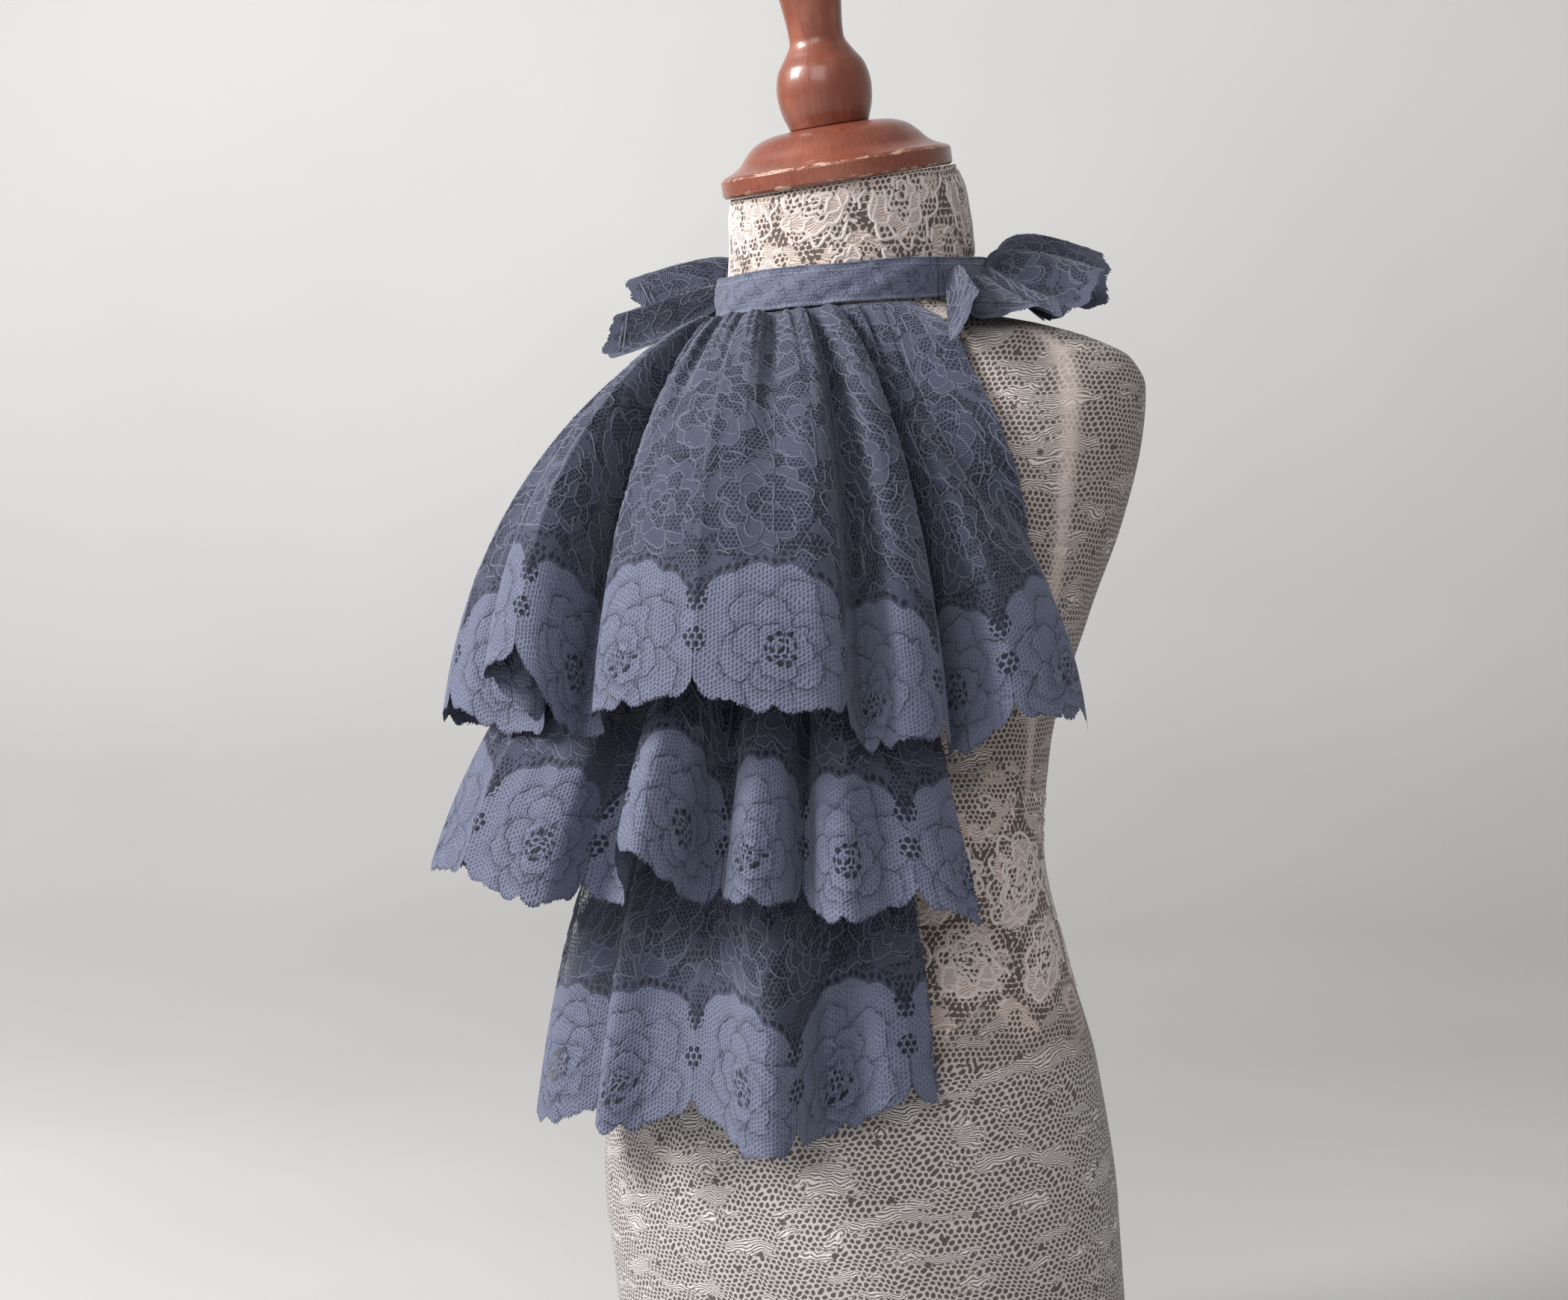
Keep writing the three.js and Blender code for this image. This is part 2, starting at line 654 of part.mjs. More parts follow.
const ruffleRightEdge = [
  { angle: 50, reach: 109, height: 478 },
  { angle: 55, reach: 113.1, height: 484.4 },
  { angle: 61, reach: 108.4, height: 501.6 },
  { angle: 66, reach: 98.4, height: 500.2 },
  { angle: 70, reach: 106.4, height: 507.6 },
  { angle: 74, reach: 114.5, height: 521 },
  { angle: 80, reach: 111.7, height: 522.4 },
  { angle: 86, reach: 104.7, height: 505.7 },
  { angle: 92, reach: 113.2, height: 497.1 },
  { angle: 99, reach: 113, height: 518.1 },
  { angle: 106, reach: 106, height: 509.1 },
  { angle: 113, reach: 114.6, height: 498.6 },
  { angle: 121, reach: 112.8, height: 520.6 },
  { angle: 129, reach: 104.5, height: 509.9 },
  { angle: 136, reach: 114.8, height: 499.3 },
  { angle: 145, reach: 111.6, height: 523 },
  { angle: 152, reach: 104.8, height: 511 },
  { angle: 160, reach: 113.4, height: 500.4 },
  { angle: 170, reach: 110.5, height: 520.5 },
  { angle: 178, reach: 108, height: 512 },
];
const ruffleColumns = 50;
const ruffleRowShares = [0, 0.14, 0.36, 0.66, 1];
const ruffleInner = { fromAngle: 77, toAngle: 162, reach: bandRadius + 2, belowTop: 6, rise: 19, crown: 9 };
const ruffleScallop = 21;
const ruffleScallopDepth = 2.5;

function ruffleGrid(edge, side) {
  const points = edge.map(({ angle, reach, height }) => polar(angle * side, reach, height));
  const edgeCurve = new THREE.CatmullRomCurve3(points, false, "centripetal");
  edgeCurve.arcLengthDivisions = 1500;
  const edgeLength = edgeCurve.getLength();
  const grid = ruffleRowShares.map(() => []);
  for (let column = 0; column <= ruffleColumns; column += 1) {
    const share = column / ruffleColumns;
    const angle = lerp(ruffleInner.fromAngle, ruffleInner.toAngle, share) * side;
    const inner = polar(angle, ruffleInner.reach, bandTop(angle) - ruffleInner.belowTop);
    const outer = edgeCurve.getPointAt(share);
    const bite = 1 - Math.abs(Math.sin((Math.PI * share * edgeLength) / ruffleScallop));
    outer.lerp(inner, (bite * ruffleScallopDepth) / outer.distanceTo(inner));
    const wave = (outer.z - bandTop(angle) + 8) * 0.8;
    const rise = polar(angle, ruffleInner.reach + 3, inner.z + ruffleInner.rise + wave);
    const crown = inner.clone().lerp(outer, 0.5);
    crown.z = outer.z + ruffleInner.crown;
    const line = new THREE.CubicBezierCurve3(inner, rise, crown, outer);
    ruffleRowShares.forEach((rowShare, row) => grid[row].push(line.getPoint(rowShare)));
  }
  return side > 0 ? grid : grid.map((line) => line.reverse());
}

// ---------------------------------------------------------------- assembly

buildForm();
buildTurnedTop();
buildNeckband();
buildPanel();
for (const tier of tiers) {
  addMesh(tier.name, wallGeometry(tierGrid(tier), laceThickness), laceBlue);
}
addMesh("ruffle_left", wallGeometry(ruffleGrid(ruffleLeftEdge, 1), laceThickness), laceBlue);
addMesh("ruffle_right", wallGeometry(ruffleGrid(ruffleRightEdge, -1), laceThickness), laceBlue);

export default jabot;
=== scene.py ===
# %% [markdown]
# # A lace jabot on a limbless dress form
#
# A jabot is a fall of lace worn at the throat. This one has a neckband, three gathered
# tiers of corded lace sewn to a backing panel, and a lace ruffle on each side of the neck.
# It hangs on a small dress form that is covered in cream lace and topped with turned wood.
#
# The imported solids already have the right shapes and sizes, and they load as a fixed frame.
# Everything below adds the finish: thin cloth, net, cords, grain and light.

# %% Load the frame
import math
import bpy
import numpy as np
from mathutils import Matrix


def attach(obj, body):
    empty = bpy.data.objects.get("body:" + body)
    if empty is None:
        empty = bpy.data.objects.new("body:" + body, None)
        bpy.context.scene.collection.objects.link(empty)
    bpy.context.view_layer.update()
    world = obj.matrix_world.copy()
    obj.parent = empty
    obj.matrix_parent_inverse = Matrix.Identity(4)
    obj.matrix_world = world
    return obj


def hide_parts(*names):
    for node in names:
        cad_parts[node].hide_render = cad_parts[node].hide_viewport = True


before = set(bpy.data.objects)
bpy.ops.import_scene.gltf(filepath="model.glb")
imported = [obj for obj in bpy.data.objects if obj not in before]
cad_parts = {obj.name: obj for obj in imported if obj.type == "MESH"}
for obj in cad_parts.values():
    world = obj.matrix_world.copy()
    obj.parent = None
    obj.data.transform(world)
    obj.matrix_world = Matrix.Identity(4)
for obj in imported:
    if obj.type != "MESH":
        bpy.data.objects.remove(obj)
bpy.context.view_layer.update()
print("solids:", sorted(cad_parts))

# %% [markdown]
# ## The camera
#
# The camera stands level with the middle of the jabot, turned 40 degrees round to the
# form's left, and far enough back that the lens does not exaggerate the near side. It is
# made first, so that each later piece can be judged in the final view.

# %% Camera
VIEW_TURN = math.radians(40)
camera_data = bpy.data.cameras.new("camera")
camera_data.lens = 54
camera_data.sensor_width = 36
camera_data.clip_end = 20
camera = bpy.data.objects.new("camera", camera_data)
camera.location = (0.6469, -0.828, 0.350)
camera.rotation_euler = (math.radians(90), 0, VIEW_TURN)
bpy.context.scene.collection.objects.link(camera)
bpy.context.scene.camera = camera
print("camera", tuple(camera.location))

# %% [markdown]
# ## Tables of shapes
#
# The cloth is worked out in millimetres from short tables. A table lists the crests,
# valleys and shoulders of the folds, and a smooth curve runs through its rows. The same
# tables shape the solids, so the thin cloth lies where they are.

# %% Smooth values from a table
# Sizes in millimetres that the solids were made with.
NECK_Y = -10.0
SEAM_GAP = 0.3
LACE_THICKNESS = 1.2
BAND_THICKNESS = 1.6
BAND_RADIUS = 59.4
BAND_HEIGHT = 17.5
SCALLOP = 64.5


def smoothstep(value, low, high):
    share = np.clip((value - low) / (high - low), 0, 1)
    return share * share * (3 - 2 * share)


def lerp(start, end, share):
    return start + (end - start) * share


def column_at(keys, values, place):
    """A smooth value between a table's rows, with no overshoot."""
    rise = np.diff(values) / np.diff(keys)
    both = rise[:-1] * rise[1:]
    total = np.where(both > 0, rise[:-1] + rise[1:], 1)
    slope = np.concatenate([[0], np.where(both > 0, 2 * both / total, 0), [0]])
    inside = np.clip(place, keys[0], keys[-1])
    low = np.clip(np.searchsorted(keys, inside, side="left") - 1, 0, len(keys) - 2)
    span = keys[low + 1] - keys[low]
    t = (inside - keys[low]) / span
    start = (2 * t**3 - 3 * t**2 + 1) * values[low] + (t**3 - 2 * t**2 + t) * span * slope[low]
    end = (3 * t**2 - 2 * t**3) * values[low + 1] + (t**3 - t**2) * span * slope[low + 1]
    return start + end


def polar(angle, reach, height):
    """A place round the neck: degrees from the front, reach from the axis, height."""
    turn = np.radians(angle)
    x, y, z = np.broadcast_arrays(reach * np.sin(turn), NECK_Y - reach * np.cos(turn), height)
    return np.stack([x, y, z], -1).astype(float)


# %% The dress form's sections
FORM_HEIGHT, HALF_WIDTH, HALF_DEPTH, CENTRE_Y, TILT = np.array([
    (0, 121, 87, 0, 0), (57, 124.4, 90, -2, 0), (112, 123.7, 94, -8.7, 0),
    (172, 116.2, 87, -11, 0), (220, 101.5, 74, -10, 0), (268, 90, 64, -8, 0),
    (308, 92.3, 68, -7, 0), (366, 110.9, 77, -6, 0), (403, 126.8, 79, -5, 0),
    (440, 139.5, 71, -5, 0), (459, 142.4, 62, -5, 0), (470, 137, 57.5, -6, 0),
    (479, 120, 56, -7, 0), (487, 95, 55.5, -8, 0), (493, 70, 55.2, -9, 0),
    (498, 56.8, 55, -9.8, 0), (528, 53.7, 53.7, -10.6, 0.12), (548, 51.8, 51.8, -14, 0.22),
    (556.4, 49.5, 49.5, -16.5, 0.25),
]).T


def form_section(height):
    columns = (HALF_WIDTH, HALF_DEPTH, CENTRE_Y, TILT)
    return [column_at(FORM_HEIGHT, column, height) for column in columns]


def form_reach(angle, height):
    """How far the form's surface is from the neck axis."""
    half_width, half_depth, centre_y, _ = form_section(height)
    across = np.sin(np.radians(angle))
    forward = np.cos(np.radians(angle))
    offset = NECK_Y - centre_y
    square = (across / half_width) ** 2 + (forward / half_depth) ** 2
    linear = -2 * offset * forward / half_depth**2
    constant = (offset / half_depth) ** 2 - 1
    return (-linear + np.sqrt(linear**2 - 4 * square * constant)) / (2 * square)


print("form reach at the chest:", round(float(form_reach(0, 403)), 1), "mm")

# %% [markdown]
# ## Making a sheet
#
# Each piece of cloth is a grid of points with a thin surface over it. Its UV map is in
# millimetres of flat cloth, so one lace pattern has the same scale on every piece. Other
# facts, such as how near a point is to a motif's edge, are stored on the points.


# %% Mesh from a grid
def link(name, mesh, material):
    """Adds a mesh as a piece that rides on the form."""
    mesh.materials.append(material)
    mesh.shade_smooth()
    piece = bpy.data.objects.new(name, mesh)
    bpy.context.scene.collection.objects.link(piece)
    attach(piece, "root")
    area = sum(face.area for face in mesh.polygons)
    print(name, "has", 2 * len(mesh.polygons), "triangles and", round(area, 4), "m2 of surface")
    return piece


def grid_quads(rows, columns):
    index = np.arange(rows * columns).reshape(rows, columns)
    corners = [index[:-1, :-1], index[1:, :-1], index[1:, 1:], index[:-1, 1:]]
    return np.stack(corners, -1).reshape(-1, 4)


def mesh_from(name, points, maps=None, fields=None, faces=None):
    """A mesh from a grid in millimetres, with UV maps and fields given for each point."""
    if faces is None:
        faces = grid_quads(*points.shape[:2])
    mesh = bpy.data.meshes.new(name)
    mesh.from_pydata((points.reshape(-1, 3) / 1000).tolist(), [], faces.tolist())
    corner = np.empty(len(mesh.loops), dtype=np.int32)
    mesh.loops.foreach_get("vertex_index", corner)
    for map_name, places in (maps or {}).items():
        layer = mesh.uv_layers.new(name=map_name)
        layer.data.foreach_set("uv", places.reshape(-1, 2)[corner].astype(np.float32).ravel())
    for field, values in (fields or {}).items():
        stored = mesh.attributes.new(field, "FLOAT", "POINT")
        stored.data.foreach_set("value", values.astype(np.float32).ravel())
    return mesh


def unit(vectors):
    return vectors / np.maximum(np.linalg.norm(vectors, axis=-1, keepdims=True), 1e-9)


def grid_normals(grid):
    return unit(np.cross(np.gradient(grid, axis=0), np.gradient(grid, axis=1)))


def lengths_along(grid, axis):
    """Distance along the grid's lines from their first point."""
    step = np.linalg.norm(np.diff(grid, axis=axis), axis=-1)
    total = np.cumsum(step, axis=axis)
    start = np.zeros_like(np.take(total, [0], axis=axis))
    return np.concatenate([start, total], axis=axis)


def from_hem(grid):
    """Distance of each point from the last row, down the cloth."""
    down = lengths_along(grid, 0)
    return down[-1] - down


# %% [markdown]
# ## Writing materials as sums
#
# A lace pattern is arithmetic: distances to lines, circles and a lattice of holes. A
# small class wraps a node's output, so that a sum written in Python becomes Math nodes.


# %% Shader maths
class Wire:
    """One output in a material. Arithmetic on it adds Math nodes."""

    def __init__(self, finish, socket):
        self.finish = finish
        self.socket = socket

    def math(self, operation, *others):
        values = dict(enumerate([self, *others]))
        return self.finish.node("ShaderNodeMath", {"operation": operation}, values)

    def __add__(self, other):
        return self.math("ADD", other)

    def __sub__(self, other):
        return self.math("SUBTRACT", other)

    def __mul__(self, other):
        return self.math("MULTIPLY", other)

    def __truediv__(self, other):
        return self.math("DIVIDE", other)

    def __rsub__(self, other):
        values = {0: other, 1: self}
        return self.finish.node("ShaderNodeMath", {"operation": "SUBTRACT"}, values)

    __radd__ = __add__

    def __abs__(self):
        return self.math("ABSOLUTE")

    def smallest(self, other):
        return self.math("MINIMUM", other)

    def largest(self, other):
        return self.math("MAXIMUM", other)

    def sine(self):
        return self.math("SINE")

    def root(self):
        return self.math("SQRT")

    def fraction(self):
        return self.math("FRACT")

    def step(self, low, high):
        """0 below low, 1 above high, smooth between."""
        settings = {"interpolation_type": "SMOOTHSTEP"}
        return self.finish.node("ShaderNodeMapRange", settings, {0: self, 1: low, 2: high})

    def below(self, low, high):
        """1 below low, 0 above high, smooth between."""
        return 1 - self.step(low, high)


class Finish:
    """A material under construction."""

    def __init__(self, name):
        self.material = bpy.data.materials.new(name)
        self.material.use_nodes = True
        self.tree = self.material.node_tree
        self.tree.nodes.clear()

    def node(self, kind, settings, inputs, output=0):
        node = self.tree.nodes.new(kind)
        for setting, value in settings.items():
            setattr(node, setting, value)
        for place, value in inputs.items():
            if isinstance(value, Wire):
                self.tree.links.new(value.socket, node.inputs[place])
            else:
                node.inputs[place].default_value = value
        return Wire(self, node.outputs[output])

    def split(self, vector):
        parts = self.node("ShaderNodeSeparateXYZ", {}, {0: vector}).socket.node
        return [Wire(self, parts.outputs[index]) for index in range(3)]

    def uv(self, name):
        return self.node("ShaderNodeUVMap", {"uv_map": name}, {})

    def field(self, name):
        settings = {"attribute_name": name, "attribute_type": "GEOMETRY"}
        return self.node("ShaderNodeAttribute", settings, {}, "Fac")

    def noise(self, vector, scale, detail, roughness=0.5):
        inputs = {"Vector": vector, "Scale": scale, "Detail": detail, "Roughness": roughness}
        return self.node("ShaderNodeTexNoise", {}, inputs, "Fac")

    def cells(self, vector, scale, randomness):
        """Distance to the nearest of scattered points."""
        settings = {"feature": "F1", "voronoi_dimensions": "2D"}
        inputs = {"Vector": vector, "Scale": scale, "Randomness": randomness}
        return self.node("ShaderNodeTexVoronoi", settings, inputs, "Distance")

    def mix(self, share, start, end):
        """From one colour to another by a share."""
        start, end = (part if isinstance(part, Wire) else (*part, 1) for part in (start, end))
        return self.node("ShaderNodeMix", {"data_type": "RGBA"}, {0: share, 6: start, 7: end}, 2)

    def bump(self, height, distance, strength):
        inputs = {"Height": height, "Distance": distance, "Strength": strength}
        return self.node("ShaderNodeBump", {}, inputs)

    def surface(self, inputs):
        shader = self.node("ShaderNodeBsdfPrincipled", {}, inputs)
        output = self.tree.nodes.new("ShaderNodeOutputMaterial")
        self.tree.links.new(shader.socket, output.inputs["Surface"])
        print(self.material.name, "is a material of", len(self.tree.nodes), "nodes")
        return self.material


# %% Lattices and stripes
def offset_in(value, spacing, shift=0.0):
    """Distance from the middle of the strip that a place is in."""
    return ((value / spacing + shift).fraction() - 0.5) * spacing


def stripes(value):
    """The same without its sign, in strips 1 wide."""
    return abs(value.fraction() - 0.5)


def length(x, y):
    return (x * x + y * y).root()


def hex_distance(u, v, spacing):
    """Distance to the nearest point of a honeycomb lattice of that spacing."""
    rise = spacing * math.sqrt(3)
    near = [length(offset_in(u, spacing, half), offset_in(v, rise, half)) for half in (0.0, 0.5)]
    return near[0].smallest(near[1])


# %% [markdown]
# ## Flowers all over the cloth
#
# The lace is covered with open flowers. Each is a set of rings, and each ring is a row of
# petals, so its outline is a circle with bulges. The hearts stand in staggered rows, and
# slow waves sway every place a little, so that no two flowers look the same.
#
# The functions below take wires or plain arrays. The material uses them to fill the
# petals, and the cords use them again to follow the petals' outlines.

# %% Petal rings: radius, petals, phase and depth of the bulges
GROUND_SIZE = 0.8
FLOWER_SPAN = SCALLOP
FLOWER_ROWS = 104.0
FLOWER_TURN = 1.3
FLOWER_RINGS = [
    (4.8, 4, 0.3, 0.14), (9.6, 5, 1.2, 0.20), (15.2, 7, 0.5, 0.18), (21.6, 8, 2.1, 0.15),
    (28.6, 11, 0.9, 0.12),
]


def sine(value):
    return value.sine() if isinstance(value, Wire) else np.sin(value)


def swayed(x, y):
    """A place moved by slow waves."""
    across = sine(y * 0.083 + sine(x * 0.047) * 1.7) * 3.4 + sine(x * 0.31 + y * 0.23) * 0.8
    up = sine(x * 0.071 + sine(y * 0.053) * 1.5) * 3.0 + sine(y * 0.37 - x * 0.17) * 0.8
    return x + across, y + up


def petal_wave(ring, around, turn):
    _, petals, phase, _ = ring
    return around * (petals / 2) + turn + phase


def petal_edge(ring, around, turn):
    """How far a ring's outline is from the flower's heart, in one direction."""
    radius, _, phase, depth = ring
    bulge = abs(sine(petal_wave(ring, around, turn)))
    lean = sine(around + turn * 3 + phase * 2) * 0.1 + 1
    ripple = sine(around * 13 + turn * 5 + radius) * 0.35 + sine(around * 29 + radius * 2) * 0.18
    return (bulge * (radius * depth * 1.7) + radius * (1 - depth)) * lean + ripple


def nearest_heart(x, y):
    """Wires from the nearest flower's heart to a place, and 1 where its row is odd."""
    found = []
    for shift in (0.0, 0.5):
        across = offset_in(x, FLOWER_SPAN, shift)
        up = offset_in(y, FLOWER_ROWS, shift)
        found.append((across, up, across * across + up * up))
    even, odd = found
    is_odd = odd[2].math("LESS_THAN", even[2])
    return even[0] + (odd[0] - even[0]) * is_odd, even[1] + (odd[1] - even[1]) * is_odd, is_odd


def flower_fill(x, y, outside):
    """A number from 0 to 1 for each petal, and the distance out from the flower's heart."""
    local_x, local_y, odd = nearest_heart(*swayed(x, y))
    turn = odd * FLOWER_TURN
    out = length(local_x, local_y)
    around = local_y.math("ARCTAN2", local_x)
    pick = outside
    for ring in reversed(FLOWER_RINGS):
        radius, petals, *_ = ring
        index = (petal_wave(ring, around, turn) / math.pi).math("FLOOR")
        index = index.math("FLOORED_MODULO", petals)
        own = ((index * 2.4 + turn * 2 + radius).sine() * 7.3).fraction()
        inside = (out - petal_edge(ring, around, turn)).below(-0.2, 0.2)
        pick = pick + (own - pick) * inside
    return pick, out


def flower_outlines(flat, size):
    """Flat curves round every ring and between its petals, over the cloth's places."""
    x_low, y_low = flat.min(axis=(0, 1)) / size
    x_high, y_high = flat.max(axis=(0, 1)) / size
    rows = range(math.floor(2 * y_low / FLOWER_ROWS) - 1, math.ceil(2 * y_high / FLOWER_ROWS) + 2)
    columns = range(math.floor(x_low / FLOWER_SPAN) - 1, math.ceil(x_high / FLOWER_SPAN) + 2)
    curves = []
    for row in rows:
        odd = (row + 1) % 2
        for column in columns:
            heart = np.array([(column + 0.5 * (1 - odd)) * FLOWER_SPAN, row * FLOWER_ROWS / 2])
            curves.extend(curve * size for curve in one_flower(heart, FLOWER_TURN * odd))
    return curves


def one_flower(heart, turn):
    """Curves of one flower, moved so that their swayed places are where they should be."""
    curves = []
    inner = None
    for ring in FLOWER_RINGS:
        radius, petals, phase, _ = ring
        around = np.linspace(-math.pi, math.pi, max(24, int(radius * 4.8)))
        curves.append((petal_edge(ring, around, turn), around))
        for petal in range(petals):
            cusp = (petal * math.pi - turn - phase) * 2 / petals
            start = 3.5 if inner is None else petal_edge(inner, cusp, turn)
            out = np.linspace(start, petal_edge(ring, cusp, turn), max(4, int(radius / 4)))
            curves.append((out, cusp + 0.12 * np.sin(out * 0.6)))
        inner = ring
    places = []
    for out, around in curves:
        wanted = np.stack([heart[0] + out * np.cos(around), heart[1] + out * np.sin(around)], -1)
        place = wanted
        for _ in range(6):
            place = wanted - (np.stack(swayed(*place.T), -1) - place)
        places.append(place)
    return places


print(len(one_flower(np.zeros(2), 0)), "cords in a flower")

# %% [markdown]
# ## Blue lace
#
# The cloth is cotton lace in a greyed blue. Its roses are a close weave, thin dark lines
# part their petals, and each heart is ringed with small holes. The net near each tier's
# free end is see-through, so there its holes go into Alpha. Elsewhere layer lies on layer,
# and the holes are painted near-black as painted shade, standing for the shaded cloth behind
# them. Each petal is also painted darker just outside the line of the petal in front, as
# painted shade. All of it comes from the flat cloth's own millimetres, which keeps it crisp
# at any distance.


# %% Row of roses
ROSE_RINGS = [(5.0, 4, 0.4, 0.14), (10.5, 3, 1.1, 0.24), (17.0, 5, 0.2, 0.20), (25.5, 6, 0.9, 0.17)]
ROSE_HEART = 26
NOTCH_HEARTS = (28, 45)
HOLES_ROUND_HEART = 9
HEART_RADIUS = 6.0
HOLES_OVER_ROSES = 3.9


def scalloped_top(frac):
    """Height of the roses' upper edge, across one scallop."""
    arch = (frac * math.pi).sine().largest(0.0001).root()
    lobe = abs((frac * (4 * math.pi)).sine())
    return 37 + arch * 21 + lobe * 2.0


def rose_lines(x, y, odd):
    """Distance to the lines between a rose's petals, and painted shade just outside each line."""
    turn = odd * 1.9
    out = length(x, y)
    around = y.math("ARCTAN2", x)
    nearest = None
    painted_petal_shade = 0.0
    inner = out * 0 + 2.5
    for ring in ROSE_RINGS:
        edge = petal_edge(ring, around, turn)
        gap = out - edge
        cusp = abs(sine(petal_wave(ring, around, turn))) * out * (1.6 / ring[1])
        between = (out - inner).step(-0.4, 0.0) * gap.below(0.0, 0.4)
        lines = abs(gap).smallest(cusp + (1 - between) * 9)
        nearest = lines if nearest is None else nearest.smallest(lines)
        # Painted shade: each petal is darkened for a few millimetres beyond the outline of the
        # petal in front.
        painted_petal_shade = gap.step(-0.1, 0.1) * gap.below(0.4, 4.5) + painted_petal_shade
        inner = edge
    return nearest, painted_petal_shade, out, around


def dots(across, up, radius, jitter):
    """1 inside a round hole at that place, with a worn outline."""
    return (length(across, up) + jitter * 0.5).below(radius - 0.15, radius + 0.15)


def rose_border(u, v, wander, jitter):
    """The row of roses: dense cloth, its holes, its lines, painted shade, and the ground over it.
    """
    frac = (u / SCALLOP).fraction()
    x = (frac - 0.5) * SCALLOP
    odd = ((u / (2 * SCALLOP)).fraction() - 0.5).math("GREATER_THAN", 0.0)
    above = v - scalloped_top(frac) + wander * 5
    dense = above.below(-0.2, 0.2)
    heart_x = x + wander * 9 + odd * 6 - 3
    heart_y = v - ROSE_HEART + wander * 7 + odd * 4
    lines, painted_petal_shade, out, around = rose_lines(heart_x, heart_y, odd)
    side = (SCALLOP / 2) - abs(x)
    slit = (side + jitter * 0.8).smallest(side * 0 + 5)
    lines = lines.smallest(slit + v.step(26, 30) * 9)
    # Holes round the heart, in the notches between roses and along the roses' tops.
    turned = offset_in(around, 2 * math.pi / HOLES_ROUND_HEART, wander) * HEART_RADIUS
    ring_hole = dots(turned, out - HEART_RADIUS - odd, 1.25, jitter)
    ring_hole = ring_hole * (1 - odd * heart_y.step(-2, 1))
    heart = hex_distance(heart_x, heart_y, 2.9) + out.step(3.4, 4.4)
    heart_hole = (heart + jitter * 0.5).below(0.85, 1.1)
    low, high = (v - place for place in NOTCH_HEARTS)
    notch = length(side, low).smallest((side * side + high * high * 0.5).root())
    out_of_notch = (notch + wander * 4).step(4.8, 5.4)
    notch_hole = (hex_distance(u, v, 3.3) + jitter * 0.4 + out_of_notch * 9).below(1.1, 1.35)
    row_hole = dots(offset_in(u, HOLES_OVER_ROSES, wander), above - 2.4, 1.35, jitter * 1.4)
    row_hole = row_hole * (wander + 0.5).step(0.30, 0.42)
    holes = (ring_hole.largest(heart_hole) * dense).largest(notch_hole).largest(row_hole)
    ground = (1 - dense) * (above - 2.4 + jitter).step(2.0, 2.6)
    return dense, holes, lines, painted_petal_shade * dense, ground


# %% Blue lace finish
NET = 2.1
LARGE_HOLES = 3.0
WEAVE = 1.9
LOBE = SCALLOP / 6
DARK_BLUE = np.array([0.047, 0.052, 0.087])
LIGHT_BLUE = np.array([0.148, 0.163, 0.241])
# Deepest blue: dark thread for the slits and the rim, and painted shade in the holes.
DEEP_BLUE_AND_HOLE_SHADE = (0.016, 0.018, 0.030)


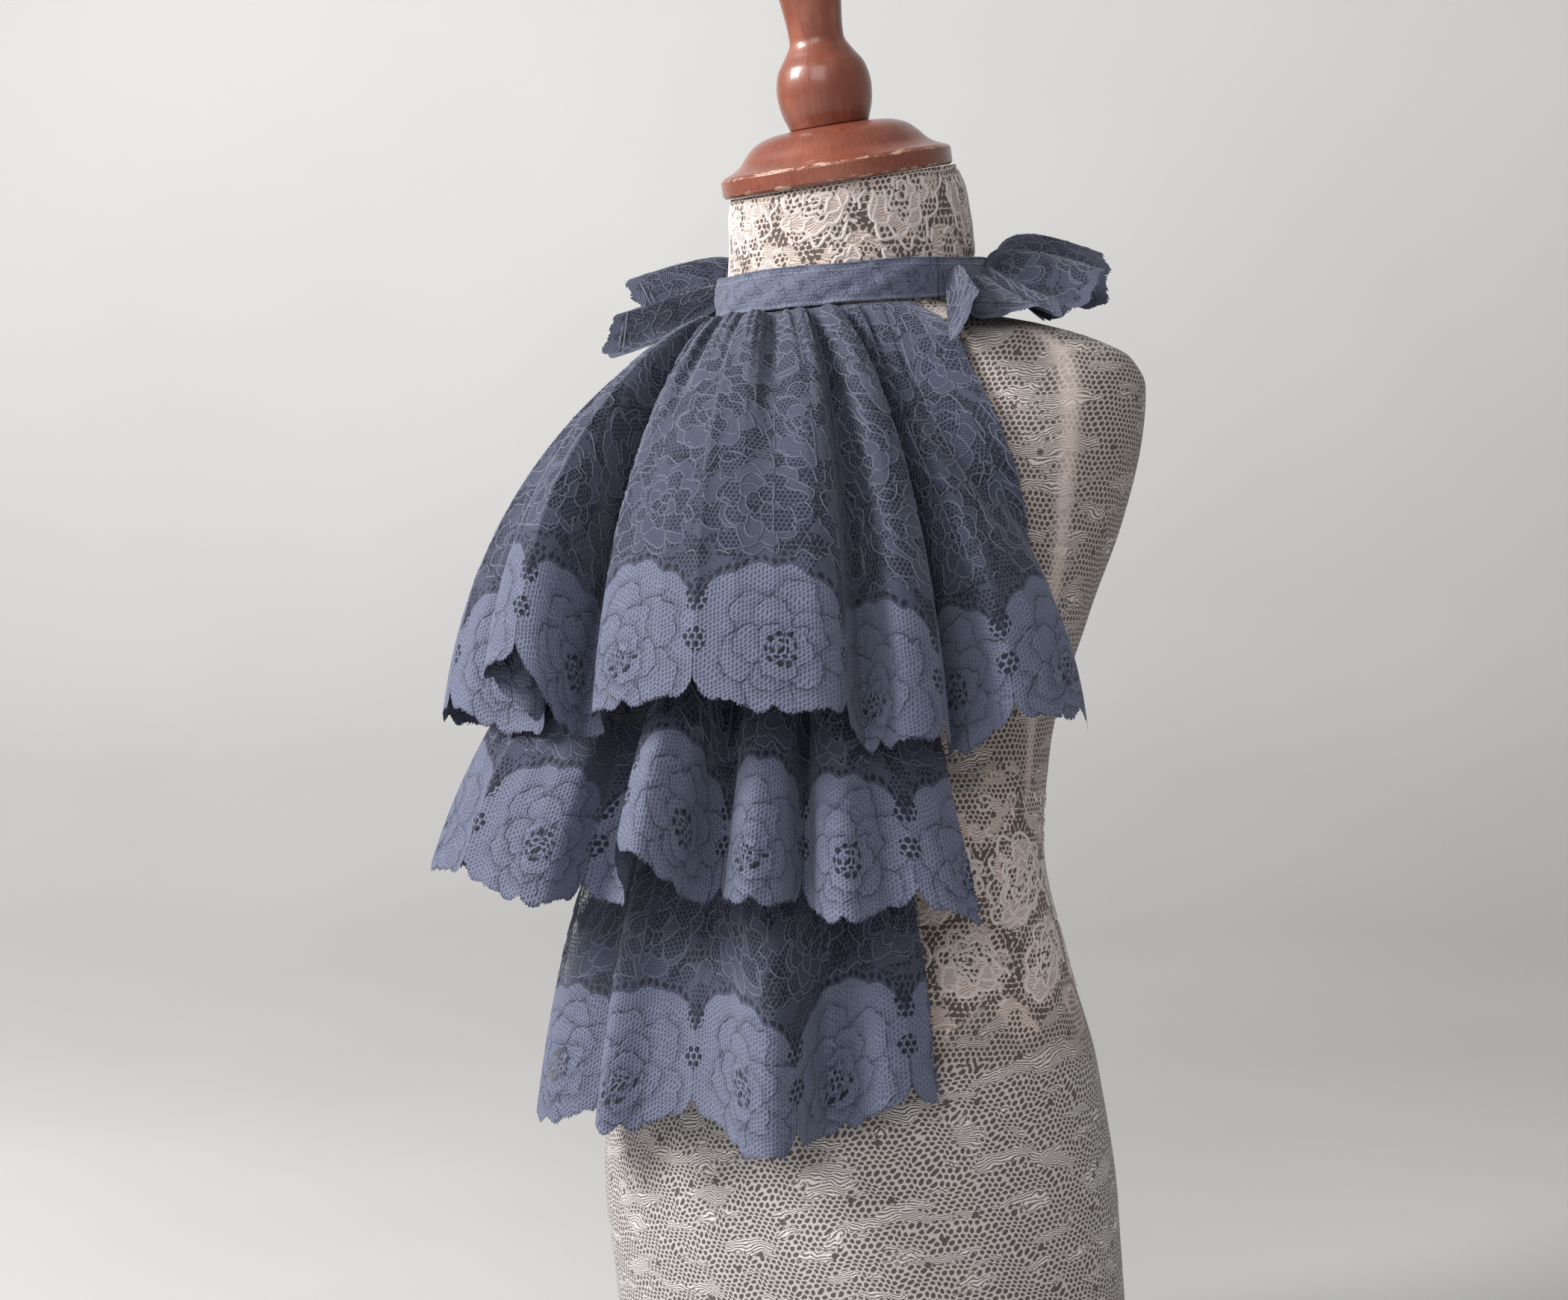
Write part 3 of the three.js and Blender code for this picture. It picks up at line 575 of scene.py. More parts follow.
def blue_lace(name, shade=1.0, border=True):
    """The corded lace. Shade scales its colour, below 1 as painted shade, and border adds the row
    of roses.
    """
    finish = Finish(name)
    flat = finish.uv("flat")
    u, v, _ = finish.split(flat)
    ground_u, ground_v, _ = finish.split(finish.uv("ground"))
    edge = finish.field("edge")
    solid_edge = finish.field("leaf").step(-0.1, 0.3)
    wander = finish.noise(flat, 0.11, 2.0) - 0.5
    jitter = finish.noise(flat, 0.9, 1.0) - 0.5

    # The ground: petals of close threads, petals of net, and large holes at each heart.
    outside = finish.noise(flat, 0.075, 1.0).step(0.3, 0.7)
    pick, out = flower_fill(ground_u / GROUND_SIZE, ground_v / GROUND_SIZE, outside)
    solid = (pick + jitter * 0.15).step(0.58, 0.66).largest(solid_edge)
    net = hex_distance(ground_u + wander * 3, ground_v + wander * 2, NET)
    net_hole = (net + jitter * 0.3 - pick * 0.2).below(0.56, 0.72) * (1 - solid)
    sparse = out.step(28, 29).largest(out.below(5.4, 6.0)) * (wander + 0.5).step(0.42, 0.50)
    large = hex_distance(ground_u + wander * 6, ground_v + wander * 4, LARGE_HOLES)
    large_hole = (large + jitter * 0.6).below(1.0, 1.2) * sparse * (1 - solid_edge)
    opening = net_hole.largest(large_hole)
    hatch = stripes(ground_v / 1.05 + ground_u * 0.3 + wander * 3)
    slit = hatch.below(0.06, 0.24) * solid * (jitter * 3 + pick).step(0.4, 0.9)
    weave_u = u * 0.87 + v * 0.5 + wander * 5
    weave = hex_distance(weave_u, v * 0.87 - u * 0.5 + wander * 5, WEAVE)
    height = net.step(0.5, 0.95) * (1 - solid) * 0.7 + solid * (hatch.step(0.05, 0.4) * 0.6 + 0.5)
    tone = pick * 0.22 + solid * 0.14

    if border:
        dense, border_holes, lines, painted_petal_shade, ground = rose_border(u, v, wander, jitter)
        opening = (opening * ground).largest(border_holes)
        broken = (finish.noise(flat, 0.3, 3.0) - 0.5).step(-0.09, 0.03)
        groove = (lines + jitter * 0.3).below(0.15, 0.5) * broken * dense
        lash = stripes(u / 1.3) * edge.below(1.6, 2.4)
        rose_height = 0.2 + weave.step(0.25, 0.85) * 0.8 + lash * 1.4
        height = height * (1 - dense) + rose_height * dense - groove * 1.4
        # The roses are lighter close cloth, with painted shade beside each petal line.
        tone = tone * (1 - dense) + dense * (1.9 - painted_petal_shade * 0.7)
        slit = (slit * (1 - dense)).largest(groove)
    else:
        dense = solid_edge
        tone = tone + solid_edge * 0.8
        opening = opening * edge.step(1.4, 1.8)

    tone = tone * 0.46 + finish.noise(flat, 0.02, 3.0) * 0.24 - 0.06
    colour = finish.mix(tone, DARK_BLUE * shade, LIGHT_BLUE * shade)
    fleck = (weave + jitter * 0.9).below(0.25, 0.85) * 0.46 * dense.largest(0.3)
    colour = finish.mix(fleck, colour, DARK_BLUE * (shade * 0.62))
    worn_edge = edge + abs(sine(u * (math.pi / LOBE))) * 1.7
    rim = (worn_edge + jitter * 3).below(2.4, 3.6) * 0.5
    # The holes are painted deepest blue as painted shade of the shaded layers behind them; Alpha
    # leaves most of them opaque.
    for share in (slit * 0.64, opening, rim):
        colour = finish.mix(share, colour, DEEP_BLUE_AND_HOLE_SHADE)
    frayed = (worn_edge + jitter * 3.4 + wander * 3 - 2.4).step(-0.12, 0.12)
    return finish.surface({
        "Base Color": colour,
        "Roughness": 0.82,
        "Specular IOR Level": 0.25,
        "Sheen Weight": 0.25,
        "Sheen Roughness": 0.4,
        "Sheen Tint": (0.75, 0.8, 1.0, 1.0),
        "Alpha": (1 - opening * (finish.field("clear") * 0.6 + 0.02)) * frayed,
        "Normal": finish.bump(height, 0.0005, 0.9),
    })


BLUE_LACE = blue_lace("blue_lace")
PLAIN_LACE = blue_lace("blue_lace_ground", 1.05, border=False)
# The ruffles' copy is painted 8 percent darker, as painted shade for their shaded pleats and
# undersides.
RUFFLE_LACE = blue_lace("blue_lace_ruffle", 0.92, border=False)

# %% Blue cord finish
def cord_finish(name, dark, light):
    """A soft twisted cord. Its UV runs along and across the ribbon, in millimetres."""
    finish = Finish(name)
    flat = finish.uv("flat")
    along, across, _ = finish.split(flat)
    twist = stripes((along + across * 0.8) / 0.9) * 2
    wear = finish.noise(flat, 0.08, 2.0)
    colour = finish.mix(twist * 0.45 + wear * 0.4, dark, light)
    return finish.surface({
        "Base Color": colour,
        "Roughness": 0.75,
        "Sheen Weight": 0.2,
        "Normal": finish.bump(twist, 0.0003, 0.8),
    })


BLUE_CORD = cord_finish("blue_cord", (0.075, 0.084, 0.127), (0.172, 0.191, 0.272))

# %% [markdown]
# ## Cords on the cloth
#
# A cord is laid round each motif. It is a narrow raised ribbon, three points wide, that
# follows the motif's outline over the folds. To find a flat place on the folded cloth,
# each column of the cloth is cut into steps of equal height, and the place is looked up
# along the step it lies on.


# %% Ribbon along curves
FOOT_DEPTH = 0.1


def ribbons(name, curves, material, width, height):
    """One mesh of raised ribbons. Each curve is its points and their outward normals."""
    points, places, faces = [], [], []
    first = 0
    for line, normal in curves:
        aside = unit(np.cross(normal, np.gradient(line, axis=0))) * width / 2
        foot = line - normal * FOOT_DEPTH
        grid = np.stack([foot - aside, line + normal * height, foot + aside], axis=1)
        along = np.repeat(lengths_along(line, 0)[:, None], 3, 1)
        across = np.broadcast_to([-width, 0, width], along.shape)
        points.append(grid.reshape(-1, 3))
        places.append(np.stack([along, across], -1).reshape(-1, 2))
        faces.append(grid_quads(len(line), 3) + first)
        first += 3 * len(line)
    maps = {"flat": np.concatenate(places)}
    print(name, "has", len(curves), "cords")
    mesh = mesh_from(name, np.concatenate(points), maps, faces=np.concatenate(faces))
    return link(name, mesh, material)


class FoldedCloth:
    """Finds places of the flat ground pattern on a folded grid of cloth."""

    def __init__(self, grid, ground, strips, step=1.0):
        self.step = step
        self.strips = strips
        self.low = np.floor(ground[..., 1].min())
        levels = np.arange(self.low, ground[..., 1].max(), step)
        facts = np.concatenate([grid, grid_normals(grid), ground[..., :1]], axis=-1)
        self.table = np.empty((len(levels), *facts.shape[1:]))
        for column in range(facts.shape[1]):
            up = ground[::-1, column, 1]
            for value in range(facts.shape[2]):
                line = facts[::-1, column, value]
                self.table[:, column, value] = np.interp(levels, up, line, np.nan, np.nan)

    def place(self, curve):
        """The parts of a flat curve that lie on the cloth, as points and normals."""
        runs = []
        for start, end in zip(self.strips[:-1], self.strips[1:]):
            runs.append([])
            for x, y in curve:
                point = self.find(x, y, start, end)
                if point is not None:
                    runs[-1].append(point)
                elif runs[-1]:
                    runs.append([])
        return [(np.array(run)[:, :3], np.array(run)[:, 3:6]) for run in runs if len(run) > 2]

    def find(self, x, y, start, end):
        """The point and normal at a flat place, if it is on the strip between two columns."""
        level = (y - self.low) / self.step
        row = int(level)
        if row < 0 or row + 1 >= len(self.table):
            return None
        found = 0
        for which, weight in ((row, 1 - level + row), (row + 1, level - row)):
            line = self.table[which, start:end + 1]
            across = line[:, 6]
            if np.isnan(across[0]) or np.isnan(across[-1]) or not across[0] < x < across[-1]:
                return None
            column = np.searchsorted(across, x)
            gap = across[column] - across[column - 1]
            share = (x - across[column - 1]) / gap if gap > 0 else 0
            found = found + weight * lerp(line[column - 1], line[column], share)
        return None if np.isnan(found).any() else found


def flower_cords(name, grid, ground, strips, lowest, width, height):
    """Blue cords round the flowers that lie over a height on the flat cloth."""
    cloth = FoldedCloth(grid, ground, strips)
    curves = []
    for curve in flower_outlines(ground, GROUND_SIZE):
        curves.extend(cloth.place(curve[curve[:, 1] > lowest]))
    return ribbons(name, curves, BLUE_CORD, width, height)


# %% [markdown]
# ## The three tiers
#
# Each tier is a flounce of lace, narrower at its top, gathered on to a seam, and free at
# its scalloped hem. Every column of the cloth is a curve that leaves the seam outwards
# and falls to hang almost plumb. Troughs start at the seam where the gathers are, and
# the hem follows the table of folds.

# %% Fold tables of the hems: angle, reach and height
TIER_ONE_HEM = [
    (-74, 150, 308), (-66, 160, 308), (-57, 147, 309), (-51, 167, 313), (-45, 179, 318),
    (-37, 178, 320), (-31, 173, 320), (-26.5, 163, 315), (-22, 156, 312), (-17, 153, 311),
    (-16.5, 160, 318), (-19.5, 170, 333), (-19, 177, 338), (-14, 179, 341), (-9.5, 175, 338),
    (-7.5, 168, 325), (-7.5, 158, 315), (-8.5, 147, 311), (-5, 145, 312), (-2.5, 157, 320),
    (4, 162, 326), (15, 163, 327), (27, 161, 325), (36, 156, 322), (38.5, 143, 315),
    (41, 131, 309), (43.5, 140, 311), (46, 150, 312), (51, 149, 311), (55, 136, 309),
    (58, 120, 306), (60.5, 136, 311), (63, 150, 317), (70, 153, 321), (76, 149, 322),
    (80, 141, 313),
]
TIER_TWO_HEM = [
    (-58, 150, 250), (-50, 160, 246), (-44, 146, 246), (-40, 170, 252), (-35, 186, 257),
    (-28, 181, 253), (-20, 172, 249), (-13, 160, 245), (-14, 139, 243), (-7, 134, 244),
    (-1, 143, 250), (3, 160, 264), (8, 167, 268), (12, 158, 258), (12.5, 141, 247),
    (15, 131, 245), (18, 143, 250), (22, 151, 252), (27, 146, 250), (30, 124, 245),
    (33, 139, 245), (38, 147, 244), (45, 138, 246), (53, 142, 245), (60, 139, 242),
]
TIER_THREE_HEM = [
    (-42, 134, 152), (-35, 141, 149), (-29, 139, 149), (-23, 131, 152), (-18, 123, 154),
    (-14, 133, 153), (-10, 137, 152), (-4, 124, 155), (5, 119, 158), (14, 124, 157),
    (21, 137, 151), (26, 140, 149), (30, 127, 151), (34, 109, 156), (39, 113, 160),
    (45, 123, 166), (51, 121, 167), (56, 117, 166),
]

# %% Gathers: angle, depth, width and length of each trough
TIER_ONE_GATHERS = [
    (-58, 3, 2.6, 70), (-53, 4.5, 2.2, 120), (-44.5, 8, 2.8, 170), (-34, 3.5, 3, 60),
    (-24, 8, 3.4, 80), (-10, 4, 3, 45), (5, 10, 4.2, 85), (13, 4.5, 2.6, 45),
    (21.5, 9.5, 3.4, 160), (33.5, 9.5, 3.2, 160), (42, 7.5, 3, 90), (50, 3.5, 3, 60),
    (57, 3, 2.6, 60),
]
TIER_TWO_GATHERS = [
    (-36, 3, 3, 60), (-27, 4, 3, 70), (-17, 4, 3, 80), (-8, 4, 3, 60), (3, 4, 3, 70),
    (13, 4, 3, 80), (23, 4, 3, 60), (33, 3, 3, 60),
]
TIER_THREE_GATHERS = [
    (-32, 2.5, 3, 60), (-22, 3, 3, 70), (-11, 3, 3, 60), (0, 3, 3, 60), (12, 3, 3, 70),
    (24, 3, 3, 60), (34, 2.5, 3, 60),
]

# Where a share of the first hem is gathered to on its seam.
TIER_ONE_SEAM = np.array([
    (-0.1, -65.5), (0, -62), (0.29, -53), (0.385, -49), (0.485, -44), (0.58, -18), (0.7, 14),
    (0.745, 22), (0.79, 27), (0.863, 34), (0.93, 47), (1, 62), (1.1, 84),
])


# %% Seams that the tiers hang from
def first_seam_angle(share):
    return column_at(*TIER_ONE_SEAM.T, share)


def even_seam(half_angle):
    return lambda share: lerp(-half_angle, half_angle, share)


def band_top(angle):
    return 518.2 - 7.1 * np.cos(np.radians(angle))


def band_bottom(angle):
    return band_top(angle) - BAND_HEIGHT


def panel_reach(angle, height):
    return form_reach(angle, height) + 1.05 + LACE_THICKNESS / 2


def top_seam(angle):
    return polar(angle, BAND_RADIUS + 1, band_bottom(angle) - SEAM_GAP - LACE_THICKNESS / 2)


def panel_seam(height):
    out = LACE_THICKNESS + SEAM_GAP
    return lambda angle: polar(angle, panel_reach(angle, height) + out, height)


TIERS = {
    "tier_1": dict(
        hem=TIER_ONE_HEM, gathers=TIER_ONE_GATHERS,
        seam=top_seam, seam_angle=first_seam_angle,
        columns=560, rows=120, puff=7, lift=27, flare=0.12, calm=1, rests=True,
        flat=(0.66, 0.205), area=0.094, on="neckband_front"),
    "tier_2": dict(
        hem=TIER_TWO_HEM, gathers=TIER_TWO_GATHERS,
        seam=panel_seam(424), seam_angle=even_seam(41),
        columns=430, rows=110, puff=3, lift=6, flare=0.3, calm=0, rests=False,
        flat=(0.50, 0.19), area=0.059, on="backing_panel"),
    "tier_3": dict(
        hem=TIER_THREE_HEM, gathers=TIER_THREE_GATHERS,
        seam=panel_seam(340), seam_angle=even_seam(39),
        columns=310, rows=116, puff=2.5, lift=12, flare=0.12, calm=0, rests=False,
        flat=(0.29, 0.195), area=0.0385, on="backing_panel"),
}
print("troughs:", {name: len(tier["gathers"]) for name, tier in TIERS.items()})


# %% Curve through a table's rows
def curve_through(points, samples=80):
    """A centripetal Catmull-Rom curve through points, sampled densely."""
    first = 2 * points[0] - points[1]
    last = 2 * points[-1] - points[-2]
    padded = np.concatenate([[first], points, [last]])
    pieces = []
    share = np.linspace(0, 1, samples, endpoint=False)[:, None]
    for p0, p1, p2, p3 in zip(padded[:-3], padded[1:-2], padded[2:-1], padded[3:]):
        d0, d1, d2 = (np.linalg.norm(b - a) ** 0.5 for a, b in ((p0, p1), (p1, p2), (p2, p3)))
        leave = ((p1 - p0) / d0 - (p2 - p0) / (d0 + d1) + (p2 - p1) / d1) * d1
        arrive = ((p2 - p1) / d1 - (p3 - p1) / (d1 + d2) + (p3 - p2) / d2) * d1
        square = -3 * p1 + 3 * p2 - 2 * leave - arrive
        cube = 2 * p1 - 2 * p2 + leave + arrive
        pieces.append(p1 + leave * share + square * share**2 + cube * share**3)
    return np.concatenate([*pieces, [points[-1]]])


def evenly(line, count):
    """Points of a dense line at equal lengths along it, and its whole length."""
    along = lengths_along(line, 0)
    wanted = np.linspace(0, along[-1], count)
    return np.stack([np.interp(wanted, along, line[:, axis]) for axis in range(3)], -1), along[-1]


def bezier(start, leave, arrive, end, share):
    rest = 1 - share
    near = rest**3 * start + 3 * rest**2 * share * leave
    return near + 3 * rest * share**2 * arrive + share**3 * end


# %% Folding a tier
def scallop_rise(length):
    inside = length / SCALLOP - np.floor(length / SCALLOP)
    arch = 1 - np.sqrt(np.sin(math.pi * inside))
    lobe = 1 - abs(np.sin(4 * math.pi * inside))
    return 9 * arch + 2.2 * lobe


def clear_of_form(points, distance):
    """Points of cloth moved out to lie just clear of the form."""
    clearance = lerp(2, 5, np.minimum(distance / 22, 1))
    forward = NECK_Y - points[..., 1]
    angle = np.degrees(np.arctan2(points[..., 0], forward))
    reach = np.hypot(points[..., 0], forward)
    least = form_reach(angle, points[..., 2]) + clearance
    return polar(angle, least + 1.5 * np.log1p(np.exp((reach - least) / 1.5)), points[..., 2])


def seam_way(tier, seam, angle, outward):
    """How the cloth leaves its seam: along its fold, or straight off the form where calm."""
    calm = smoothstep(angle, 26, 56) * tier["calm"]
    away = seam - (0, NECK_Y, 0)
    away[:, 2] = 0
    return unit(lerp(outward, unit(away), calm[:, None])), np.radians(tier["lift"] * (1 - calm))


def tier_grid(tier):
    """The folded cloth, with the hem's rise and length and each column's seam angle."""
    hem_line = curve_through(np.array([polar(*row) for row in tier["hem"]]))
    hem, hem_length = evenly(hem_line, tier["columns"])
    across_share = np.linspace(0, 1, tier["columns"])
    angle = tier["seam_angle"](across_share)
    seam = tier["seam"](angle)
    rise = scallop_rise(across_share * hem_length)
    hem[:, 2] += rise
    outward = hem - seam
    drop = -outward[:, 2].copy()
    outward[:, 2] = 0
    run = np.linalg.norm(outward, axis=1)
    outward = unit(outward)
    leave_way, lift = seam_way(tier, seam, angle, outward)
    slope = (np.arctan2(drop, run) - lift)[:, None]
    along = (np.hypot(run, drop) * 0.38)[:, None]
    up = np.array([0, 0, 1.0])
    leave = seam + leave_way * along * np.cos(slope) - up * along * np.sin(slope)
    arrive = hem - outward * along * tier["flare"] + up * along
    share = np.linspace(0, 1, tier["rows"])[:, None, None]
    grid = bezier(seam, leave, arrive, hem, share)
    tangent = unit(np.gradient(grid, axis=0))
    normal = unit(outward - tangent * (outward * tangent).sum(-1, keepdims=True))
    distance = share[..., 0] * np.linalg.norm(hem - seam, axis=1)
    depth = tier["puff"] * np.exp(-((distance / 75) ** 2))
    for place, deep, wide, long in tier["gathers"]:
        trough = np.exp(-(((angle - place) / wide) ** 2))
        depth = depth - deep * trough * np.exp(-((distance / long) ** 2))
    # Tight little gathers right under the seam, in the thin cloth alone.
    tight = np.sin(angle * 1.9 + 1.3 * np.sin(angle * 0.3))
    depth = depth + 1.3 * tight * np.exp(-distance / 22) * smoothstep(distance, 1, 6)
    grid = grid + normal * (depth * distance / (distance + 3))[..., None]
    if tier["rests"]:
        grid = clear_of_form(grid, distance)
    return grid, rise, hem_length, angle


# %% Flat places of a tier's cloth
LOWEST_CORD = 62


def tier_maps(grid, rise, hem_length, gathers, angle):
    """Flat millimetres for the border and for the ground, and the strips between gathers."""
    columns = grid.shape[1]
    v = from_hem(grid) + rise
    u = np.broadcast_to(np.linspace(0, hem_length, columns), v.shape)
    strips = [0, *[int(np.searchsorted(angle, place)) for place, *_ in gathers], columns - 1]
    across = lengths_along(grid, 1)
    ground_u = np.empty(v.shape)
    for start, end in zip(strips[:-1], strips[1:]):
        middle = slice((start + end) // 2, (start + end) // 2 + 1)
        strip = slice(start, end + 1)
        ground_u[:, strip] = u[:, middle] + across[:, strip] - across[:, middle]
    ground_u = lerp(u, ground_u, smoothstep(v, 50, 85))
    return np.stack([u, v], -1), np.stack([ground_u, v], -1), strips


def build_tier(name, tier):
    grid, rise, hem_length, angle = tier_grid(tier)
    flat, ground, strips = tier_maps(grid, rise, hem_length, tier["gathers"], angle)
    side = np.minimum(flat[..., 0], hem_length - flat[..., 0])
    clear = 1 - smoothstep(flat[..., 0], 0.06 * hem_length, 0.16 * hem_length)
    fields = {"leaf": 3 - side, "edge": np.minimum(from_hem(grid), side), "clear": clear}
    mesh = mesh_from(name, grid, {"flat": flat, "ground": ground}, fields)
    piece = link(name + "_lace", mesh, BLUE_LACE)
    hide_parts(name)
    print(name, "has a hem of", round(hem_length), "mm")
    cords = flower_cords(name + "_cords", grid, ground, strips, LOWEST_CORD, 0.75, 0.35)


for name, tier in TIERS.items():
    build_tier(name, tier)

# %% [markdown]
# ## The backing panel
#
# The tiers are sewn to a plain panel of the same lace. It hangs from the neckband and lies
# close over the form's chest, so its points are the form's points, moved out a little.


# %% Backing panel
PANEL_HEIGHT, PANEL_HALF_ANGLE = np.array([
    (487, 30), (479, 37), (470, 43), (459, 46), (442, 46), (424, 46), (403, 46), (366, 45),
    (340, 43), (331, 43),
], dtype=float).T


def panel_grid(columns, steps):
    top = np.linspace(-22, 22, columns)
    lines = [polar(top, BAND_RADIUS - 1.2, band_bottom(top) - 2 * SEAM_GAP)]
    places = range(len(PANEL_HEIGHT))
    for row in np.linspace(0, places[-1], steps):
        height = np.interp(row, places, PANEL_HEIGHT)
        half_angle = np.interp(row, places, PANEL_HALF_ANGLE)
        angle = np.linspace(-half_angle, half_angle, columns)
        lines.append(polar(angle, panel_reach(angle, height), height))
    return np.array(lines)


def build_panel():
    grid = panel_grid(90, 100)
    edge = from_hem(grid)
    across = lengths_along(grid, 1)
    flat = np.stack([across - across[:, 45:46], edge], -1)
    inset = np.minimum(np.minimum(across, across[:, -1:] - across), edge)
    fields = {"leaf": 4 - inset, "edge": inset + 2}
    mesh = mesh_from("panel", grid, {"flat": flat, "ground": flat}, fields)
    piece = link("backing_panel_lace", mesh, PLAIN_LACE)
    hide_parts("backing_panel")


build_panel()

# %% [markdown]
# ## The ruffles at the neck
#
# A short frill of lace stands out from the band on each side of the neck and runs round to
# the back. Its pleats come from a table of its outer edge. Each column of cloth starts at
# the band, rises, and turns over to the edge.

# %% Edge tables of the ruffles: angle, reach and height
RUFFLE_LEFT_EDGE = [
    (57, 121, 470), (60, 120, 477.9), (65, 113.9, 493.4), (67, 101.7, 484.9), (72, 111.4, 484),
    (78, 118, 488.5), (84, 119.5, 484.8), (89, 111.3, 493.2), (92, 103.2, 486.5),
    (97, 114.8, 493.6), (101, 120, 507.1), (107, 112.9, 510.4), (108, 106.6, 495.3),
    (114, 113.6, 498.2), (122, 114.2, 516.6), (130, 112.1, 525.2), (137, 106, 512),
    (143, 114.6, 504.3), (151, 111.4, 521.8), (158, 106.3, 511.9), (164, 113.3, 503.4),
    (172, 110.3, 518.5), (178, 108, 512),
]
RUFFLE_RIGHT_EDGE = [
    (50, 109, 478), (55, 113.1, 484.4), (61, 108.4, 501.6), (66, 98.4, 500.2),
    (70, 106.4, 507.6), (74, 114.5, 521), (80, 111.7, 522.4), (86, 104.7, 505.7),
    (92, 113.2, 497.1), (99, 113, 518.1), (106, 106, 509.1), (113, 114.6, 498.6),
    (121, 112.8, 520.6), (129, 104.5, 509.9), (136, 114.8, 499.3), (145, 111.6, 523),
    (152, 104.8, 511), (160, 113.4, 500.4), (170, 110.5, 520.5), (178, 108, 512),
]

print("ruffle edges have", len(RUFFLE_LEFT_EDGE), "and", len(RUFFLE_RIGHT_EDGE), "places")


# %% Ruffle cloth
RUFFLE_COLUMNS = 260
RUFFLE_SCALLOP = 21
PATTERN_SHIFT = (20, 31)


def ruffle_grid(edge_table, side):
    places = np.array([polar(angle * side, reach, height) for angle, reach, height in edge_table])
    outer, edge_length = evenly(curve_through(places), RUFFLE_COLUMNS)
    share = np.linspace(0, 1, RUFFLE_COLUMNS)
    angle = lerp(77, 162, share) * side
    inner = polar(angle, BAND_RADIUS + 2, band_top(angle) - 6)
    bite = 1 - abs(np.sin(math.pi * share * edge_length / RUFFLE_SCALLOP))
    outer = lerp(outer, inner, (bite * 2.5 / np.linalg.norm(outer - inner, axis=1))[:, None])
    wave = (outer[:, 2] - band_top(angle) + 8) * 0.8
    rise = polar(angle, BAND_RADIUS + 5, inner[:, 2] + 19 + wave)
    crown = lerp(inner, outer, 0.5)
    crown[:, 2] = outer[:, 2] + 9
    grid = bezier(inner, rise, crown, outer, np.linspace(0, 1, 44)[:, None, None])
    return grid[:, ::side], edge_length


def build_ruffle(name, edge_table, side):
    """One ruffle. The side is 1 on the form's left and -1 on its right."""
    grid, edge_length = ruffle_grid(edge_table, side)
    edge = from_hem(grid)
    u = np.broadcast_to(np.linspace(0, edge_length, RUFFLE_COLUMNS), edge.shape)
    flat = np.stack([u, edge], -1)
    ground = flat + PATTERN_SHIFT
    border = 7 - edge + 2 * np.sin(u * 4 * math.pi / RUFFLE_SCALLOP)
    fields = {"leaf": np.maximum(border, edge - edge[0] + 3), "edge": edge}
    mesh = mesh_from(name, grid, {"flat": flat, "ground": ground}, fields)
    piece = link(name + "_lace", mesh, RUFFLE_LACE)
    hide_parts(name)
    print(name, "has an edge of", round(edge_length), "mm")
    cords = flower_cords(name + "_cords", grid, ground, [0, 65, 130, 195, 259], 38, 0.7, 0.3)


build_ruffle("ruffle_left", RUFFLE_LEFT_EDGE, 1)
build_ruffle("ruffle_right", RUFFLE_RIGHT_EDGE, -1)

# %% [markdown]
# ## The neckband
#
# The band is a strip of the same lace folded double. A row of points goes round the
# folded strip, up the outside, over the fold and down the inside, and is carried round the
# neck. The back ends lap.


# %% Band finish
def band_lace():
    """Close lace: ribs along the strip, flecks of darker thread, a stitched line by each fold."""
    finish = Finish("band_lace")
    flat = finish.uv("flat")
    u, v, _ = finish.split(flat)
    wander = finish.noise(flat, 0.16, 2.0) - 0.5
    jitter = finish.noise(flat, 1.0, 1.0) - 0.5
    weave = finish.cells(flat, 1.0, 0.6)
    rib = stripes((v + wander * 1.2) / 1.5)
    figure = abs((finish.noise(flat, 0.11, 4.0) - 0.5) * 8).step(0.06, 0.24)
    line = abs(abs(v) - 6.6 + wander * 0.6).below(0.25, 0.55) * stripes(u / 2.6).step(0.08, 0.14)
    stain = finish.noise(flat, 0.03, 3.0)
    colour = finish.mix(stain, (0.112, 0.125, 0.185), (0.175, 0.193, 0.275))
    colour = finish.mix((1 - figure) * 0.5, colour, (0.030, 0.034, 0.060))
    colour = finish.mix(weave.step(0.2, 0.8) * 0.5, colour, (0.045, 0.050, 0.085))
    colour = finish.mix(line * 0.6, colour, (0.24, 0.265, 0.35))
    height = 1 - weave.step(0.1, 0.8) * 0.5 + rib * 0.6 + line * 0.8 + jitter * 0.4
    return finish.surface({
        "Base Color": colour,
        "Roughness": 0.8,
        "Specular IOR Level": 0.25,
        "Sheen Weight": 0.3,
        "Sheen Roughness": 0.4,
        "Normal": finish.bump(height, 0.0005, 0.8),
    })


BAND_LACE = band_lace()


# %% Folded strips round the neck
def band_profile():
    """Places round the folded strip: share down the band, offset outwards."""
    half = BAND_THICKNESS / 2
    face = np.linspace(0.05, 0.95, 13)
    turn = np.radians(np.linspace(80, -80, 5))
    outer = [(share, half * (0.75 + 0.25 * math.cos((share - 0.5) * 5))) for share in face]
    bottom = [(0.95 + 0.05 * math.cos(t), half * math.sin(t) * 0.8) for t in turn]
    inner = [(share, -half * 0.8) for share in face[::-1]]
    top = [(0.05 - 0.05 * math.cos(t), -half * math.sin(t) * 0.8) for t in turn]
    return np.array(outer + bottom + inner + top + outer[:1])


